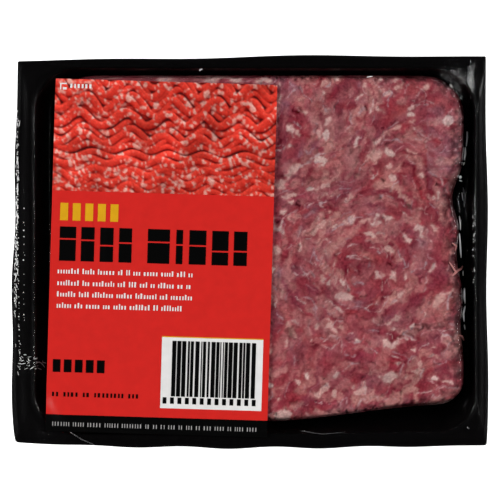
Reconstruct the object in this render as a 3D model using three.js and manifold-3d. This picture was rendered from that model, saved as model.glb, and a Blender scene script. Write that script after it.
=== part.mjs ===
// A vacuum pack of minced meat lying flat: a black formed tray with a sealed flange,
// the pressed block of mince, the clear skin film drawn down over it, and the label on the film.
// Millimetres, +Z up, +X along the long side, +Y towards the label's upper edge,
// origin under the middle of the pack on the plane it rests on.
import * as THREE from "three";
import { mergeVertices } from "three/addons/utils/BufferGeometryUtils.js";
import Module from "manifold-3d";

const wasm = await Module();
wasm.setup();

// Driving dimensions. The four corners of the cut edge, with how far each side bows out between them.
const CORNERS = {
  topLeft: [-90.7, 75.1],
  topRight: [92.5, 77.0],
  bottomRight: [92.5, -75.3],
  bottomLeft: [-91.1, -74.1],
};
const EDGE_CORNER_RADIUS = 1.6;
const BOW = { left: 2.0, right: 0.8, top: 0.8, bottom: 1.6 };
// Where along each side the bow is widest, as the power of the share of the side.
const BOW_POWER = { left: 2.2, right: 2.6, top: 0.9, bottom: 1.3 };
const EDGE_RIPPLE = 0.45;
const EDGE_RIPPLES = { left: 3, right: 2, top: 2, bottom: 5 };

const FLANGE_TOP = 21.5;
const FLANGE_DROOP = 0.9;
const SHEET = 0.5; // tray wall
const FILM = 0.2;
const LABEL = 0.2;
const GAP = 0.3; // between touching pieces
const MEAT_TOP = 22.7;
const MEAT_DOME = 0.5;
// How deep the film is drawn into the groove round the meat: a depth, and a share of the groove's width.
const GROOVE_DEPTH = 3.6;
const GROOVE_SHARE = 0.25;
const FILM_SHOULDER_DROP = 6.0;

// Rounded rectangles that the pocket, the meat and the film are lofted through.
// The four radii run from the upper right corner round by the left.
const LIP = { left: -84.5, right: 88.5, bottom: -70.8, top: 72.3, radii: [17, 17, 17, 15] };
const FLOOR = { left: -77.6, right: 85.6, bottom: -67.2, top: 70.6, radii: [16, 16, 16, 12] };
const MEAT = { left: -76.2, right: 84.2, bottom: -66.0, top: 69.6, radii: [16, 15, 15, 11] };
const SHOULDER_WIDTH = 5;
// The block's lower side climbs towards the right end.
const LOWER_RISE = 6.5;
const LOWER_RISE_FROM = 5;
const LOWER_RISE_TO = 78;
// The block's right side is uneven: dents, each by its place along Y, its reach and its depth.
const RIGHT_DENTS = [
  { y: 20, reach: 10, depth: 4.6 },
  { y: -4, reach: 12, depth: 2.8 },
  { y: -34, reach: 9, depth: 1.2 },
];

const STRAND_HALF_WIDTH = [1.7, 2.5];
const STRAND_DEPTH = 1.7;
const STRAND_STEP = 3.6;
const STRAND_STEPS = [3, 6];
const STRAND_CLEARANCE = 0.4; // kept from the film's under face

const LABEL_WIDTH = 86.5;
const LABEL_HEIGHT = 137.6;
const LABEL_CENTRE = [-34.4, -1.95];
const LABEL_TURN = -1.7 * (Math.PI / 180);

const CORNER_STEPS = 6;
const SIDE_STEPS = 11;

// Small helpers
const mix = (a, b, t) => a + (b - a) * t;
const clamp01 = (t) => Math.min(1, Math.max(0, t));
const smooth = (t) => clamp01(t) ** 2 * (3 - 2 * clamp01(t));

// A seeded random draw in 0 to 1.
function seeded(seed) {
  let state = seed;
  return () => {
    state = (state + 0x6d2b79f5) | 0;
    let t = Math.imul(state ^ (state >>> 15), 1 | state);
    t = (t + Math.imul(t ^ (t >>> 7), 61 | t)) ^ t;
    return ((t ^ (t >>> 14)) >>> 0) / 4294967296;
  };
}

// Points round a rounded rectangle, the same number for each, so that two of them can be lofted.
function roundedOutline({ left, right, bottom, top, radii }) {
  const centres = [
    [right - radii[0], top - radii[0]],
    [left + radii[1], top - radii[1]],
    [left + radii[2], bottom + radii[2]],
    [right - radii[3], bottom + radii[3]],
  ];
  const arcs = centres.map(([cx, cy], corner) =>
    Array.from({ length: CORNER_STEPS + 1 }, (_, i) => {
      const angle = ((corner + i / CORNER_STEPS) * Math.PI) / 2;
      return [cx + radii[corner] * Math.cos(angle), cy + radii[corner] * Math.sin(angle)];
    }),
  );
  return arcs.flatMap((arc, corner) => {
    const from = arc[CORNER_STEPS];
    const to = arcs[(corner + 1) % 4][0];
    const side = Array.from({ length: SIDE_STEPS - 1 }, (_, i) => {
      const t = (i + 1) / SIDE_STEPS;
      return [mix(from[0], to[0], t), mix(from[1], to[1], t)];
    });
    return [...arc, ...side];
  });
}

// How far up the lower side lies at x, fading out towards the upper side.
function lowerRise(x, y, outline) {
  const along = smooth((x - LOWER_RISE_FROM) / (LOWER_RISE_TO - LOWER_RISE_FROM));
  const fadeEnd = outline.top - 20;
  return LOWER_RISE * along * clamp01((fadeEnd - y) / (fadeEnd - outline.bottom));
}

// How far the right side is dented at y.
function rightDent(y) {
  const depths = RIGHT_DENTS.map((dent) => dent.depth * Math.exp(-(((y - dent.y) / dent.reach) ** 2)));
  return depths.reduce((sum, depth) => sum + depth, 0);
}

// The outline of the meat, or of the tray floor round it, which has no dents.
function blockOutline(outline, inset, dented) {
  const moved = {
    left: outline.left + inset,
    right: outline.right - inset,
    bottom: outline.bottom + inset,
    top: outline.top - inset,
    radii: outline.radii.map((radius) => radius - inset * 0.6),
  };
  return roundedOutline(moved).map(([x, y]) => {
    const share = dented ? smooth((x - moved.right / 2) / (moved.right / 2)) : 0;
    return [x - share * rightDent(y), y + lowerRise(x, y, moved)];
  });
}

// The cut edge of tray and film: four bowed and rippled sides with nearly sharp corners.
function edgeOutline() {
  const { topLeft, topRight, bottomRight, bottomLeft } = CORNERS;
  const sides = [
    { name: "top", from: topRight, to: topLeft, out: [0, 1], reverse: true },
    { name: "left", from: topLeft, to: bottomLeft, out: [-1, 0], reverse: true },
    { name: "bottom", from: bottomLeft, to: bottomRight, out: [0, -1], reverse: false },
    { name: "right", from: bottomRight, to: topRight, out: [1, 0], reverse: false },
  ];
  const onSide = (side, t) => {
    const share = side.reverse ? 1 - t : t;
    const bow = BOW[side.name] * Math.sin(Math.PI * share ** (1 / BOW_POWER[side.name]));
    const ripple = Math.sin(2 * Math.PI * EDGE_RIPPLES[side.name] * share) * Math.sin(Math.PI * share);
    const away = bow + EDGE_RIPPLE * ripple;
    return [
      mix(side.from[0], side.to[0], t) + side.out[0] * away,
      mix(side.from[1], side.to[1], t) + side.out[1] * away,
    ];
  };
  return sides.flatMap((side, i) => {
    const before = sides[(i + 3) % 4];
    const length = Math.hypot(side.to[0] - side.from[0], side.to[1] - side.from[1]);
    const cut = EDGE_CORNER_RADIUS / length;
    const start = onSide(before, 1 - cut);
    const end = onSide(side, cut);
    // A quadratic curve rounds the corner.
    const corner = Array.from({ length: CORNER_STEPS + 1 }, (_, k) => {
      const t = k / CORNER_STEPS;
      const towards = (axis) => mix(start[axis], side.from[axis], t);
      const away = (axis) => mix(side.from[axis], end[axis], t);
      return [0, 1].map((axis) => mix(towards(axis), away(axis), t));
    });
    const straight = Array.from({ length: SIDE_STEPS - 1 }, (_, k) =>
      onSide(side, mix(cut, 1 - cut, (k + 1) / SIDE_STEPS)),
    );
    return [...corner, ...straight];
  });
}

// A ring of 3-D points between two outlines at share t, at the height that z gives.
function ringBetween(a, b, t, z) {
  return a.map(([x, y], i) => {
    const px = mix(x, b[i][0], t);
    const py = mix(y, b[i][1], t);
    return [px, py, typeof z === "function" ? z(px, py, i) : z];
  });
}

// The flange droops and waves a little towards its cut edge; share is 0 at the pocket and 1 at the edge.
function flangeHeight(x, y, share) {
  const wave = 0.35 * Math.sin(x / 11 + 0.6) * Math.cos(y / 13 - 0.4);
  return FLANGE_TOP - FLANGE_DROOP * share ** 2 + wave * share;
}

const edge = edgeOutline();
const lip = roundedOutline(LIP);
const floorLine = blockOutline(FLOOR, 0, false);
const meatLine = blockOutline(MEAT, 0, true);
const shoulderLine = blockOutline(MEAT, SHOULDER_WIDTH, true);
const BLOCK_MIDDLE = [(MEAT.left + MEAT.right) / 2, (MEAT.bottom + MEAT.top) / 2 + LOWER_RISE / 4];

// A closed solid through a stack of rings, with a fan of triangles to a middle point at each end.
// Rings run against the clock seen from above. A thin skin's stack goes out along its under side
// and back in along its top.
function loftedSolid(rings, startZ, endZ) {
  const count = rings[0].length;
  const positions = rings.flat();
  const start = positions.push([...BLOCK_MIDDLE, startZ]) - 1;
  const end = positions.push([...BLOCK_MIDDLE, endZ]) - 1;
  const last = (rings.length - 1) * count;
  const faces = [];
  for (let i = 0; i < count; i++) {
    const j = (i + 1) % count;
    for (let base = 0; base < last; base += count) {
      faces.push([base + i, base + j, base + count + i]);
      faces.push([base + j, base + count + j, base + count + i]);
    }
    faces.push([j, i, start], [last + i, last + j, end]);
  }
  return solidOf(positions, faces);
}

// A ring pushed outwards from the pocket's middle by about the wall's thickness.
function spread(ring, by) {
  const middle = [(LIP.left + LIP.right) / 2, (LIP.bottom + LIP.top) / 2];
  const half = [(LIP.right - LIP.left) / 2, (LIP.top - LIP.bottom) / 2];
  return ring.map(([x, y, z]) => [
    x + (by * (x - middle[0])) / half[0],
    y + (by * (y - middle[1])) / half[1],
    z,
  ]);
}

// The tray's wall from lip to floor, as the share of the way in and the share of the way down.
const WALL = [
  [0.05, 0.03],
  [0.16, 0.13],
  [0.45, 0.42],
  [0.72, 0.72],
  [0.9, 0.92],
  [1.06, 0.99],
];
const FLOOR_SHARE = 1.25;

// The tray's rings from the cut edge down to the floor, on its inner or its outer face.
function trayRings(outer) {
  const drop = outer ? SHEET : 0;
  const depth = FLANGE_TOP - SHEET;
  const wallRing = ([across, down]) =>
    spread(ringBetween(lip, floorLine, across, FLANGE_TOP - depth * down - drop), drop);
  return [
    ringBetween(edge, lip, 0, (x, y) => flangeHeight(x, y, 1) - drop),
    ringBetween(edge, lip, 0.5, (x, y) => flangeHeight(x, y, 0.5) - drop),
    ringBetween(edge, lip, 0.97, (x, y) => flangeHeight(x, y, 0) - drop),
    ...WALL.map(wallRing),
    ringBetween(lip, floorLine, FLOOR_SHARE, SHEET - drop),
  ];
}

function makeTray() {
  return loftedSolid([...trayRings(true).reverse(), ...trayRings(false)], 0, SHEET);
}

// A manifold-3d solid from points and triangles.
function solidOf(positions, faces) {
  const geometry = new THREE.BufferGeometry();
  geometry.setAttribute("position", new THREE.Float32BufferAttribute(positions.flat(), 3));
  geometry.setIndex(faces.flat());
  const merged = mergeVertices(geometry, 1e-3);
  return new wasm.Manifold(
    new wasm.Mesh({
      numProp: 3,
      vertProperties: merged.attributes.position.array,
      triVerts: new Uint32Array(merged.index.array),
    }),
  );
}

// A three.js geometry from a manifold-3d solid.
function geometryOf(solid) {
  const mesh = solid.getMesh();
  const points = new Float32Array(mesh.numVert * 3);
  for (let i = 0; i < mesh.numVert; i++)
    points.set(mesh.vertProperties.subarray(i * mesh.numProp, i * mesh.numProp + 3), i * 3);
  const geometry = new THREE.BufferGeometry();
  geometry.setAttribute("position", new THREE.BufferAttribute(points, 3));
  geometry.setIndex(new THREE.BufferAttribute(mesh.triVerts, 1));
  geometry.computeVertexNormals();
  return geometry;
}

// The top of the pressed block, very slightly crowned, without its strands.
function crown(x, y) {
  const u = (x - BLOCK_MIDDLE[0]) / (MEAT.right - MEAT.left);
  const v = (y - BLOCK_MIDDLE[1]) / (MEAT.top - MEAT.bottom);
  return MEAT_DOME * (1 - 2 * (u * u + v * v));
}

// The clear film, flat on the flange, sunk between the tray wall and the meat, then over the meat's shoulder.
// Its rings run from the cut edge to the middle, lifted off the flange and the meat by lift.
function filmRings(lift) {
  const overFlange = GAP + lift;
  const overMeat = MEAT_TOP + GAP + lift;
  const gapWidth = lip.map(([x, y], i) => Math.hypot(x - meatLine[i][0], y - meatLine[i][1]));
  const sunk = (share) => (x, y, i) =>
    FLANGE_TOP + overFlange - share * (GROOVE_DEPTH + GROOVE_SHARE * gapWidth[i]);
  const overBlock = (drop) => (x, y) => overMeat - drop + crown(x, y);
  const centre = shoulderLine.map(() => BLOCK_MIDDLE);
  return [
    ringBetween(edge, lip, 0, (x, y) => flangeHeight(x, y, 1) + overFlange),
    ringBetween(edge, lip, 0.5, (x, y) => flangeHeight(x, y, 0.5) + overFlange),
    ringBetween(lip, meatLine, 0.09, sunk(0.02)),
    ringBetween(lip, meatLine, 0.38, sunk(0.75)),
    ringBetween(lip, meatLine, 0.7, sunk(1)),
    ringBetween(meatLine, shoulderLine, 0.04, overBlock(FILM_SHOULDER_DROP * 0.8)),
    ringBetween(meatLine, shoulderLine, 0.28, overBlock(FILM_SHOULDER_DROP * 0.2)),
    ringBetween(meatLine, shoulderLine, 0.8, overBlock(0)),
    ringBetween(shoulderLine, centre, 0.45, overBlock(0)),
  ];
}
const RINGS_BESIDE_MEAT = 5;

function makeFilm() {
  const under = MEAT_TOP + GAP + MEAT_DOME;
  return loftedSolid([...filmRings(0).reverse(), ...filmRings(FILM)], under, under + FILM);
}

// The block's lower edge, rounded where it stands on the tray's floor.
const BLOCK_LOW = SHEET + GAP;
const lowRing = ringBetween(meatLine, shoulderLine, 0.16, BLOCK_LOW);

// The block's core, a little below the strands on its upper face.
function makeCore() {
  const side = (share, z) => ringBetween(meatLine, shoulderLine, share, z);
  const top = MEAT_TOP - 0.9;
  const rings = [
    lowRing,
    side(0.02, mix(BLOCK_LOW, MEAT_TOP, 0.25)),
    side(0.1, mix(BLOCK_LOW, MEAT_TOP, 0.68)),
    side(0.42, top - 1.7),
    side(1, (x, y) => top - 0.1 + crown(x, y)),
  ];
  return loftedSolid(rings, BLOCK_LOW, top + MEAT_DOME);
}

// The room under the film that the strands have to stay in.
function roomForMeat() {
  const rings = [lowRing, ...filmRings(-STRAND_CLEARANCE).slice(RINGS_BESIDE_MEAT)];
  return loftedSolid(rings, BLOCK_LOW, MEAT_TOP + GAP - STRAND_CLEARANCE + MEAT_DOME);
}

// The way the strands lie at a point: a swirl in the middle band, slanting strands above and below it.
const SWIRL_CENTRE = [43, -5];
const UPPER_SEAM = 29;
const LOWER_SEAM = -28;
const LOWER_SEAM_SAG = 6;
function flow(x, y) {
  const lowerSeam = LOWER_SEAM - LOWER_SEAM_SAG * Math.sin((Math.PI * (x - 10)) / 66);
  if (y > UPPER_SEAM) return 0.6 + 0.5 * Math.sin(x / 17) + 0.3 * Math.cos(y / 9);
  if (y < lowerSeam) return 0.5 + 0.25 * Math.sin(x / 15 + 1);
  return Math.atan2(y - SWIRL_CENTRE[1], x - SWIRL_CENTRE[0]) + Math.PI / 2;
}

// A pressed strand's section: flat on top, with sunken sides, as shares of its half width and its depth.
const STRAND_SECTION = [
  [-1, -1],
  [-0.86, -0.36],
  [-0.42, 0],
  [0.42, 0],
  [0.86, -0.36],
  [1, -1],
];

// One strand along the flow, narrower at its ends.
function makeStrand({ x, y, steps, halfWidth, top, curl }) {
  const sides = STRAND_SECTION.length;
  const positions = [];
  let px = x;
  let py = y;
  for (let step = 0; step <= steps; step++) {
    const angle = flow(px, py) + curl * Math.sin((step / steps) * Math.PI * 1.5);
    const taper = 0.45 + 0.55 * Math.sqrt(Math.sin((Math.PI * (step + 0.35)) / (steps + 0.7)));
    STRAND_SECTION.forEach(([across, up]) => {
      const side = across * halfWidth * taper;
      const depth = up * STRAND_DEPTH * (up === -1 ? 1 : taper);
      const z = top + crown(px, py) + depth - (1 - taper) * 0.5;
      positions.push([px - Math.sin(angle) * side, py + Math.cos(angle) * side, z]);
    });
    px += Math.cos(angle) * STRAND_STEP;
    py += Math.sin(angle) * STRAND_STEP;
  }
  const faces = [];
  for (let base = 0; base < steps * sides; base += sides)
    for (let k = 0; k < sides; k++) {
      const next = (k + 1) % sides;
      faces.push([base + k, base + sides + k, base + next]);
      faces.push([base + next, base + sides + k, base + sides + next]);
    }
  const end = steps * sides;
  for (let k = 1; k < sides - 1; k++) faces.push([0, k, k + 1], [end, end + k + 1, end + k]);
  return solidOf(positions, faces);
}

// Where the meat shows, right of the label and inside the block's shoulder.
const EXPOSED = { left: 14, right: 79, bottom: -58, top: 64 };
const ROW_PITCH = 9;
const COLUMN_PITCH = 18;

function makeMeat() {
  const random = seeded(20417);
  const jitter = (width) => (random() - 0.5) * width;
  const room = roomForMeat();
  const strands = [];
  for (let row = 0; EXPOSED.bottom + row * ROW_PITCH <= EXPOSED.top; row++) {
    const first = EXPOSED.left + (row % 2) * COLUMN_PITCH * 0.5;
    for (let x = first; x <= EXPOSED.right; x += COLUMN_PITCH) {
      const strand = makeStrand({
        x: x + jitter(6),
        y: EXPOSED.bottom + row * ROW_PITCH + jitter(4),
        steps: Math.round(mix(...STRAND_STEPS, random())),
        halfWidth: mix(...STRAND_HALF_WIDTH, random()),
        top: MEAT_TOP - random() * 0.4,
        curl: jitter(0.9),
      });
      strands.push(strand.intersect(room));
    }
  }
  return largestBody(wasm.Manifold.union([makeCore(), ...strands]));
}

// Strands cut at the block's edge can leave a loose scrap, which is dropped.
function largestBody(solid) {
  return solid.decompose().reduce((a, b) => (a.volume() > b.volume() ? a : b));
}

// The label: a thin sheet laid over the film, so it follows the film's height under it.
const LABEL_COLUMNS = 12;
const LABEL_ROWS = 16;

function makeLabel(film) {
  const turned = (u, v) => {
    const x = u * LABEL_WIDTH;
    const y = v * LABEL_HEIGHT;
    return [
      LABEL_CENTRE[0] + x * Math.cos(LABEL_TURN) - y * Math.sin(LABEL_TURN),
      LABEL_CENTRE[1] + x * Math.sin(LABEL_TURN) + y * Math.cos(LABEL_TURN),
    ];
  };
  const probe = heightProbe(film);
  const level = (lift) => {
    const points = [];
    for (let r = 0; r <= LABEL_ROWS; r++)
      for (let c = 0; c <= LABEL_COLUMNS; c++) {
        const [x, y] = turned(c / LABEL_COLUMNS - 0.5, r / LABEL_ROWS - 0.5);
        points.push([x, y, probe(x, y) + lift]);
      }
    return points;
  };
  return closedSheet(level(GAP + LABEL), level(GAP), LABEL_COLUMNS + 1, LABEL_ROWS + 1);
}

// The highest point of a solid's upper face round (x, y): the label is stiff, so it bridges the film's dips.
const STIFFNESS_REACH = 5;
const PROBE_FROM = 100;
function heightProbe(solid) {
  const mesh = new THREE.Mesh(geometryOf(solid), new THREE.MeshStandardMaterial());
  const ray = new THREE.Raycaster();
  const down = new THREE.Vector3(0, 0, -1);
  const heightAt = (x, y) => {
    ray.set(new THREE.Vector3(x, y, PROBE_FROM), down);
    const hit = ray.intersectObject(mesh)[0];
    return hit ? hit.point.z : 0;
  };
  return (x, y) => {
    const round = Array.from({ length: 8 }, (_, k) => {
      const angle = (k * Math.PI) / 4;
      return heightAt(x + STIFFNESS_REACH * Math.cos(angle), y + STIFFNESS_REACH * Math.sin(angle));
    });
    return Math.max(heightAt(x, y), ...round);
  };
}

// A closed thin sheet from two grids of points.
function closedSheet(upper, lower, columns, rows) {
  const positions = [...upper, ...lower];
  const shift = upper.length;
  const faces = [];
  const quad = (a, b, c, d) => faces.push([a, b, d], [b, c, d]);
  for (let r = 0; r < rows - 1; r++)
    for (let c = 0; c < columns - 1; c++) {
      const a = r * columns + c;
      quad(a, a + 1, a + columns + 1, a + columns);
      quad(shift + a + columns, shift + a + columns + 1, shift + a + 1, shift + a);
    }
  const rim = [
    ...Array.from({ length: columns - 1 }, (_, c) => c),
    ...Array.from({ length: rows - 1 }, (_, r) => r * columns + columns - 1),
    ...Array.from({ length: columns - 1 }, (_, c) => rows * columns - 1 - c),
    ...Array.from({ length: rows - 1 }, (_, r) => (rows - 1 - r) * columns),
  ];
  rim.forEach((a, i) => {
    const b = rim[(i + 1) % rim.length];
    quad(shift + a, shift + b, b, a);
  });
  return solidOf(positions, faces);
}

// The finished pack
const pack = new THREE.Group();
function place(name, solid, look) {
  const mesh = new THREE.Mesh(geometryOf(solid), new THREE.MeshStandardMaterial(look));
  mesh.name = name;
  pack.add(mesh);
  return mesh;
}

const film = makeFilm();
const tray = place("tray", makeTray(), { color: 0x0c0b0c, roughness: 0.28, metalness: 0 });
place("mince", makeMeat(), { color: 0x8e4e53, roughness: 0.55, metalness: 0 });
place("skin_film", film, { color: 0xffffff, roughness: 0.1, transparent: true, opacity: 0.15 });
place("label", makeLabel(film), { color: 0xcc2824, roughness: 0.35, metalness: 0 });

// The origin goes under the middle of the whole pack.
const box = new THREE.Box3().setFromObject(tray);
const middle = box.getCenter(new THREE.Vector3());
pack.children.forEach((mesh) => mesh.position.set(-middle.x, -middle.y, -box.min.z));

export default pack;
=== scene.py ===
"""A sealed tray of minced meat: the black tray, the mince, the clear film and the printed label.

Shapes are worked out in millimetres in the pack's own plan and turned into metres as they are built.
"""

import math

import bpy
import numpy as np
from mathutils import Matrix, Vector
from mathutils.bvhtree import BVHTree


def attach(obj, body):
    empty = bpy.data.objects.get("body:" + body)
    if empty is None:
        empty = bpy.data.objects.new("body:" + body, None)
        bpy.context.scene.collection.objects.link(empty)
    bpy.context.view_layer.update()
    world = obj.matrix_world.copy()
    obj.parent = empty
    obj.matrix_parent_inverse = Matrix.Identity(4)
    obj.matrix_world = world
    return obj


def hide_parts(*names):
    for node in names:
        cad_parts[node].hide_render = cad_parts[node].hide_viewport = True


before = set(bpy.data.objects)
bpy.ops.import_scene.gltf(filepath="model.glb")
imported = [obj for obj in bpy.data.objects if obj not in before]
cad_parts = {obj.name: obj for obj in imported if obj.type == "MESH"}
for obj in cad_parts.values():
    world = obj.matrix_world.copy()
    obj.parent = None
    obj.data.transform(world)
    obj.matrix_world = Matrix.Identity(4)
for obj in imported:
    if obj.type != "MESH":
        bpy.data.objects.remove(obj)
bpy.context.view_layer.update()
MM = 0.001

# The pack's driving dimensions, in millimetres, as in the solids.
CORNERS = {
    "top_left": (-90.7, 75.1),
    "top_right": (92.5, 77.0),
    "bottom_right": (92.5, -75.3),
    "bottom_left": (-91.1, -74.1),
}
EDGE_CORNER_RADIUS = 0.7
BOW = {"left": 2.0, "right": 0.8, "top": 0.8, "bottom": 1.6}
BOW_POWER = {"left": 2.2, "right": 2.6, "top": 0.9, "bottom": 1.3}
EDGE_RIPPLE = 0.45
EDGE_RIPPLES = {"left": 3, "right": 2, "top": 2, "bottom": 5}
FLANGE_TOP = 21.5
FLANGE_DROOP = 0.9
SHEET = 0.5
FILM = 0.2
LABEL = 0.2
GAP = 0.3
MEAT_TOP = 22.7
MEAT_DOME = 0.5
LIP = {"left": -84.5, "right": 88.5, "bottom": -70.8, "top": 72.3, "radii": (17, 17, 17, 15)}
FLOOR = {"left": -77.6, "right": 85.6, "bottom": -67.2, "top": 70.6, "radii": (16, 16, 16, 12)}
MEAT = {"left": -76.2, "right": 84.2, "bottom": -66.0, "top": 69.6, "radii": (16, 15, 15, 11)}
SHOULDER_WIDTH = 5
LOWER_RISE = 6.5
LOWER_RISE_FROM = 5
LOWER_RISE_TO = 78
LOWER_RISE_FADE = 20
# Dents in the block's right side: where along y, how far each reaches and how deep it is.
RIGHT_DENTS = ((20, 10, 4.6), (-4, 12, 2.8), (-34, 9, 1.2))
LABEL_WIDTH = 86.5
LABEL_HEIGHT = 137.6
LABEL_CENTRE = (-34.4, -1.95)
LABEL_TURN = math.radians(-1.7)

# How finely the outlines are cut.
CORNER_STEPS = 24
SIDE_STEPS = 120


# Numbers and outlines
def mix(a, b, t):
    return a + (b - a) * t


def clamp01(t):
    return np.clip(t, 0.0, 1.0)


def smooth(t):
    t = clamp01(t)
    return t * t * (3 - 2 * t)


def rounded_outline(left, right, bottom, top, radii):
    """Points round a rounded rectangle, the same number for each."""
    centres = (
        (right - radii[0], top - radii[0]),
        (left + radii[1], top - radii[1]),
        (left + radii[2], bottom + radii[2]),
        (right - radii[3], bottom + radii[3]),
    )
    arcs = []
    for corner, (cx, cy) in enumerate(centres):
        angle = (corner + np.arange(CORNER_STEPS + 1) / CORNER_STEPS) * math.pi / 2
        x = cx + radii[corner] * np.cos(angle)
        y = cy + radii[corner] * np.sin(angle)
        arcs.append(np.stack([x, y], axis=1))
    share = (np.arange(1, SIDE_STEPS) / SIDE_STEPS)[:, None]
    parts = []
    for corner, arc in enumerate(arcs):
        parts += [arc, mix(arc[-1], arcs[(corner + 1) % 4][0], share)]
    return np.concatenate(parts)


def middle_of(outline):
    return np.array([(outline["left"] + outline["right"]) / 2, (outline["bottom"] + outline["top"]) / 2])


def span_of(outline):
    return np.array([outline["right"] - outline["left"], outline["top"] - outline["bottom"]])


def lower_rise(x, y, outline):
    """How far up the lower side lies at x, fading out towards the upper side."""
    along = smooth((x - LOWER_RISE_FROM) / (LOWER_RISE_TO - LOWER_RISE_FROM))
    fade_end = outline["top"] - LOWER_RISE_FADE
    return LOWER_RISE * along * clamp01((fade_end - y) / (fade_end - outline["bottom"]))


def right_dent(y):
    return sum(depth * np.exp(-(((y - at) / reach) ** 2)) for at, reach, depth in RIGHT_DENTS)


def uneven(x, y, outline, dented):
    """Where a point of the straight block lies once its lower side climbs and its right side is dented."""
    share = smooth((x - outline["right"] / 2) / (outline["right"] / 2)) if dented else 0.0
    return x - share * right_dent(y), y + lower_rise(x, y, outline)


def block_outline(outline, inset, dented):
    """The uneven block's outline, drawn in by an inset, with corners that shrink less than it."""
    moved = {
        "left": outline["left"] + inset,
        "right": outline["right"] - inset,
        "bottom": outline["bottom"] + inset,
        "top": outline["top"] - inset,
        "radii": tuple(radius - inset * 0.6 for radius in outline["radii"]),
    }
    points = rounded_outline(**moved)
    return np.stack(uneven(points[:, 0], points[:, 1], moved, dented), axis=1)


def edge_outline():
    """The cut edge: four bowed and rippled sides with nearly sharp corners."""
    sides = (
        ("top", CORNERS["top_right"], CORNERS["top_left"], (0, 1), True),
        ("left", CORNERS["top_left"], CORNERS["bottom_left"], (-1, 0), True),
        ("bottom", CORNERS["bottom_left"], CORNERS["bottom_right"], (0, -1), False),
        ("right", CORNERS["bottom_right"], CORNERS["top_right"], (1, 0), False),
    )

    def on_side(side, t):
        name, start, end, out, reverse = side
        t = np.atleast_1d(np.asarray(t, float))
        share = 1 - t if reverse else t
        bow = BOW[name] * np.sin(math.pi * share ** (1 / BOW_POWER[name]))
        ripple = np.sin(2 * math.pi * EDGE_RIPPLES[name] * share) * np.sin(math.pi * share)
        away = (bow + EDGE_RIPPLE * ripple)[:, None]
        return mix(np.array(start), np.array(end), t[:, None]) + np.array(out) * away

    parts = []
    for i, side in enumerate(sides):
        before = sides[i - 1]
        corner = np.array(side[1])
        cut = EDGE_CORNER_RADIUS / np.linalg.norm(np.array(side[2]) - corner)
        start = on_side(before, 1 - cut)
        end = on_side(side, cut)
        t = (np.arange(CORNER_STEPS + 1) / CORNER_STEPS)[:, None]
        parts.append(mix(mix(start, corner, t), mix(corner, end, t), t))
        parts.append(on_side(side, mix(cut, 1 - cut, np.arange(1, SIDE_STEPS) / SIDE_STEPS)))
    return np.concatenate(parts)


EDGE = edge_outline()
LIP_LINE = rounded_outline(**LIP)
FLOOR_LINE = block_outline(FLOOR, 0, False)
MEAT_LINE = block_outline(MEAT, 0, True)
SHOULDER_LINE = block_outline(MEAT, SHOULDER_WIDTH, True)
BLOCK_MIDDLE = middle_of(MEAT) + (0, LOWER_RISE / 4)
# The frame's origin is under the middle of the cut edge.
PLAN_MIDDLE = (EDGE.min(axis=0) + EDGE.max(axis=0)) / 2


# The photo looks straight down: its scale, and the pixel that the frame's origin lies at.
PHOTO_PIXELS = 500
PIXELS_PER_MM = 2.558
ORIGIN_PIXEL = (250, 252)


def plan_place(pixel):
    """Where a pixel of the photo lies on the plan."""
    return np.array([pixel[0] - ORIGIN_PIXEL[0], ORIGIN_PIXEL[1] - pixel[1]]) / PIXELS_PER_MM + PLAN_MIDDLE


def to_frame(points):
    """Plan millimetres to the frame's metres."""
    moved = np.array(points, float)
    moved[:, :2] -= PLAN_MIDDLE
    return moved * MM


def ring(a, b, share, z):
    """A ring of points between two outlines, at the height that z gives."""
    plan = mix(a, b, share)
    height = z(plan[:, 0], plan[:, 1]) if callable(z) else np.broadcast_to(z, len(plan))
    return np.column_stack([plan, height])


def crown(x, y):
    """The pressed block's slight doming."""
    width, depth = span_of(MEAT)
    u = (x - BLOCK_MIDDLE[0]) / width
    v = (y - BLOCK_MIDDLE[1]) / depth
    return MEAT_DOME * (1 - 2 * (u * u + v * v))


def flange_height(x, y, share):
    """The flange's upper face, level at the lip and drooping in waves to the cut edge, where share is 1."""
    wave = 0.35 * np.sin(x / 11 + 0.6) * np.cos(y / 13 - 0.4)
    return FLANGE_TOP - FLANGE_DROOP * share**1.15 + wave * share


# Meshes
CRISP_ANGLE = math.radians(50)


def mesh_object(name, points, faces, material, crisp=False):
    """A smooth-shaded mesh. A crisp one keeps its sharp rims."""
    mesh = bpy.data.meshes.new(name)
    mesh.from_pydata(to_frame(points).tolist(), [], faces.tolist() if hasattr(faces, "tolist") else faces)
    mesh.validate()
    mesh.polygons.foreach_set("use_smooth", [True] * len(mesh.polygons))
    if crisp:
        mesh.set_sharp_from_angle(angle=CRISP_ANGLE)
    mesh.materials.append(material)
    made = bpy.data.objects.new(name, mesh)
    bpy.context.scene.collection.objects.link(made)
    return made


def colour_attribute(obj, name, colours):
    """Gives each vertex a linear colour, and 1 for its alpha."""
    attribute = obj.data.attributes.new(name, "FLOAT_COLOR", "POINT")
    rgba = np.ones((len(obj.data.vertices), 4), np.float32)
    rgba[:, :3] = colours
    attribute.data.foreach_set("color", rgba.ravel())


def ring_faces(rings, count):
    """Quads between rings that each have count points."""
    i = np.arange(count)
    j = (i + 1) % count
    base = (np.arange(rings - 1) * count)[:, None]
    return np.stack([base + i, base + j, base + count + j, base + count + i], axis=2).reshape(-1, 4)


def band(upper, lower):
    """Quads between two rings of point numbers."""
    return np.stack([upper, lower, np.roll(lower, -1), np.roll(upper, -1)], axis=1)


def flipped(quads):
    """The same quads, facing the other way."""
    return quads[:, [0, 3, 2, 1]]


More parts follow.
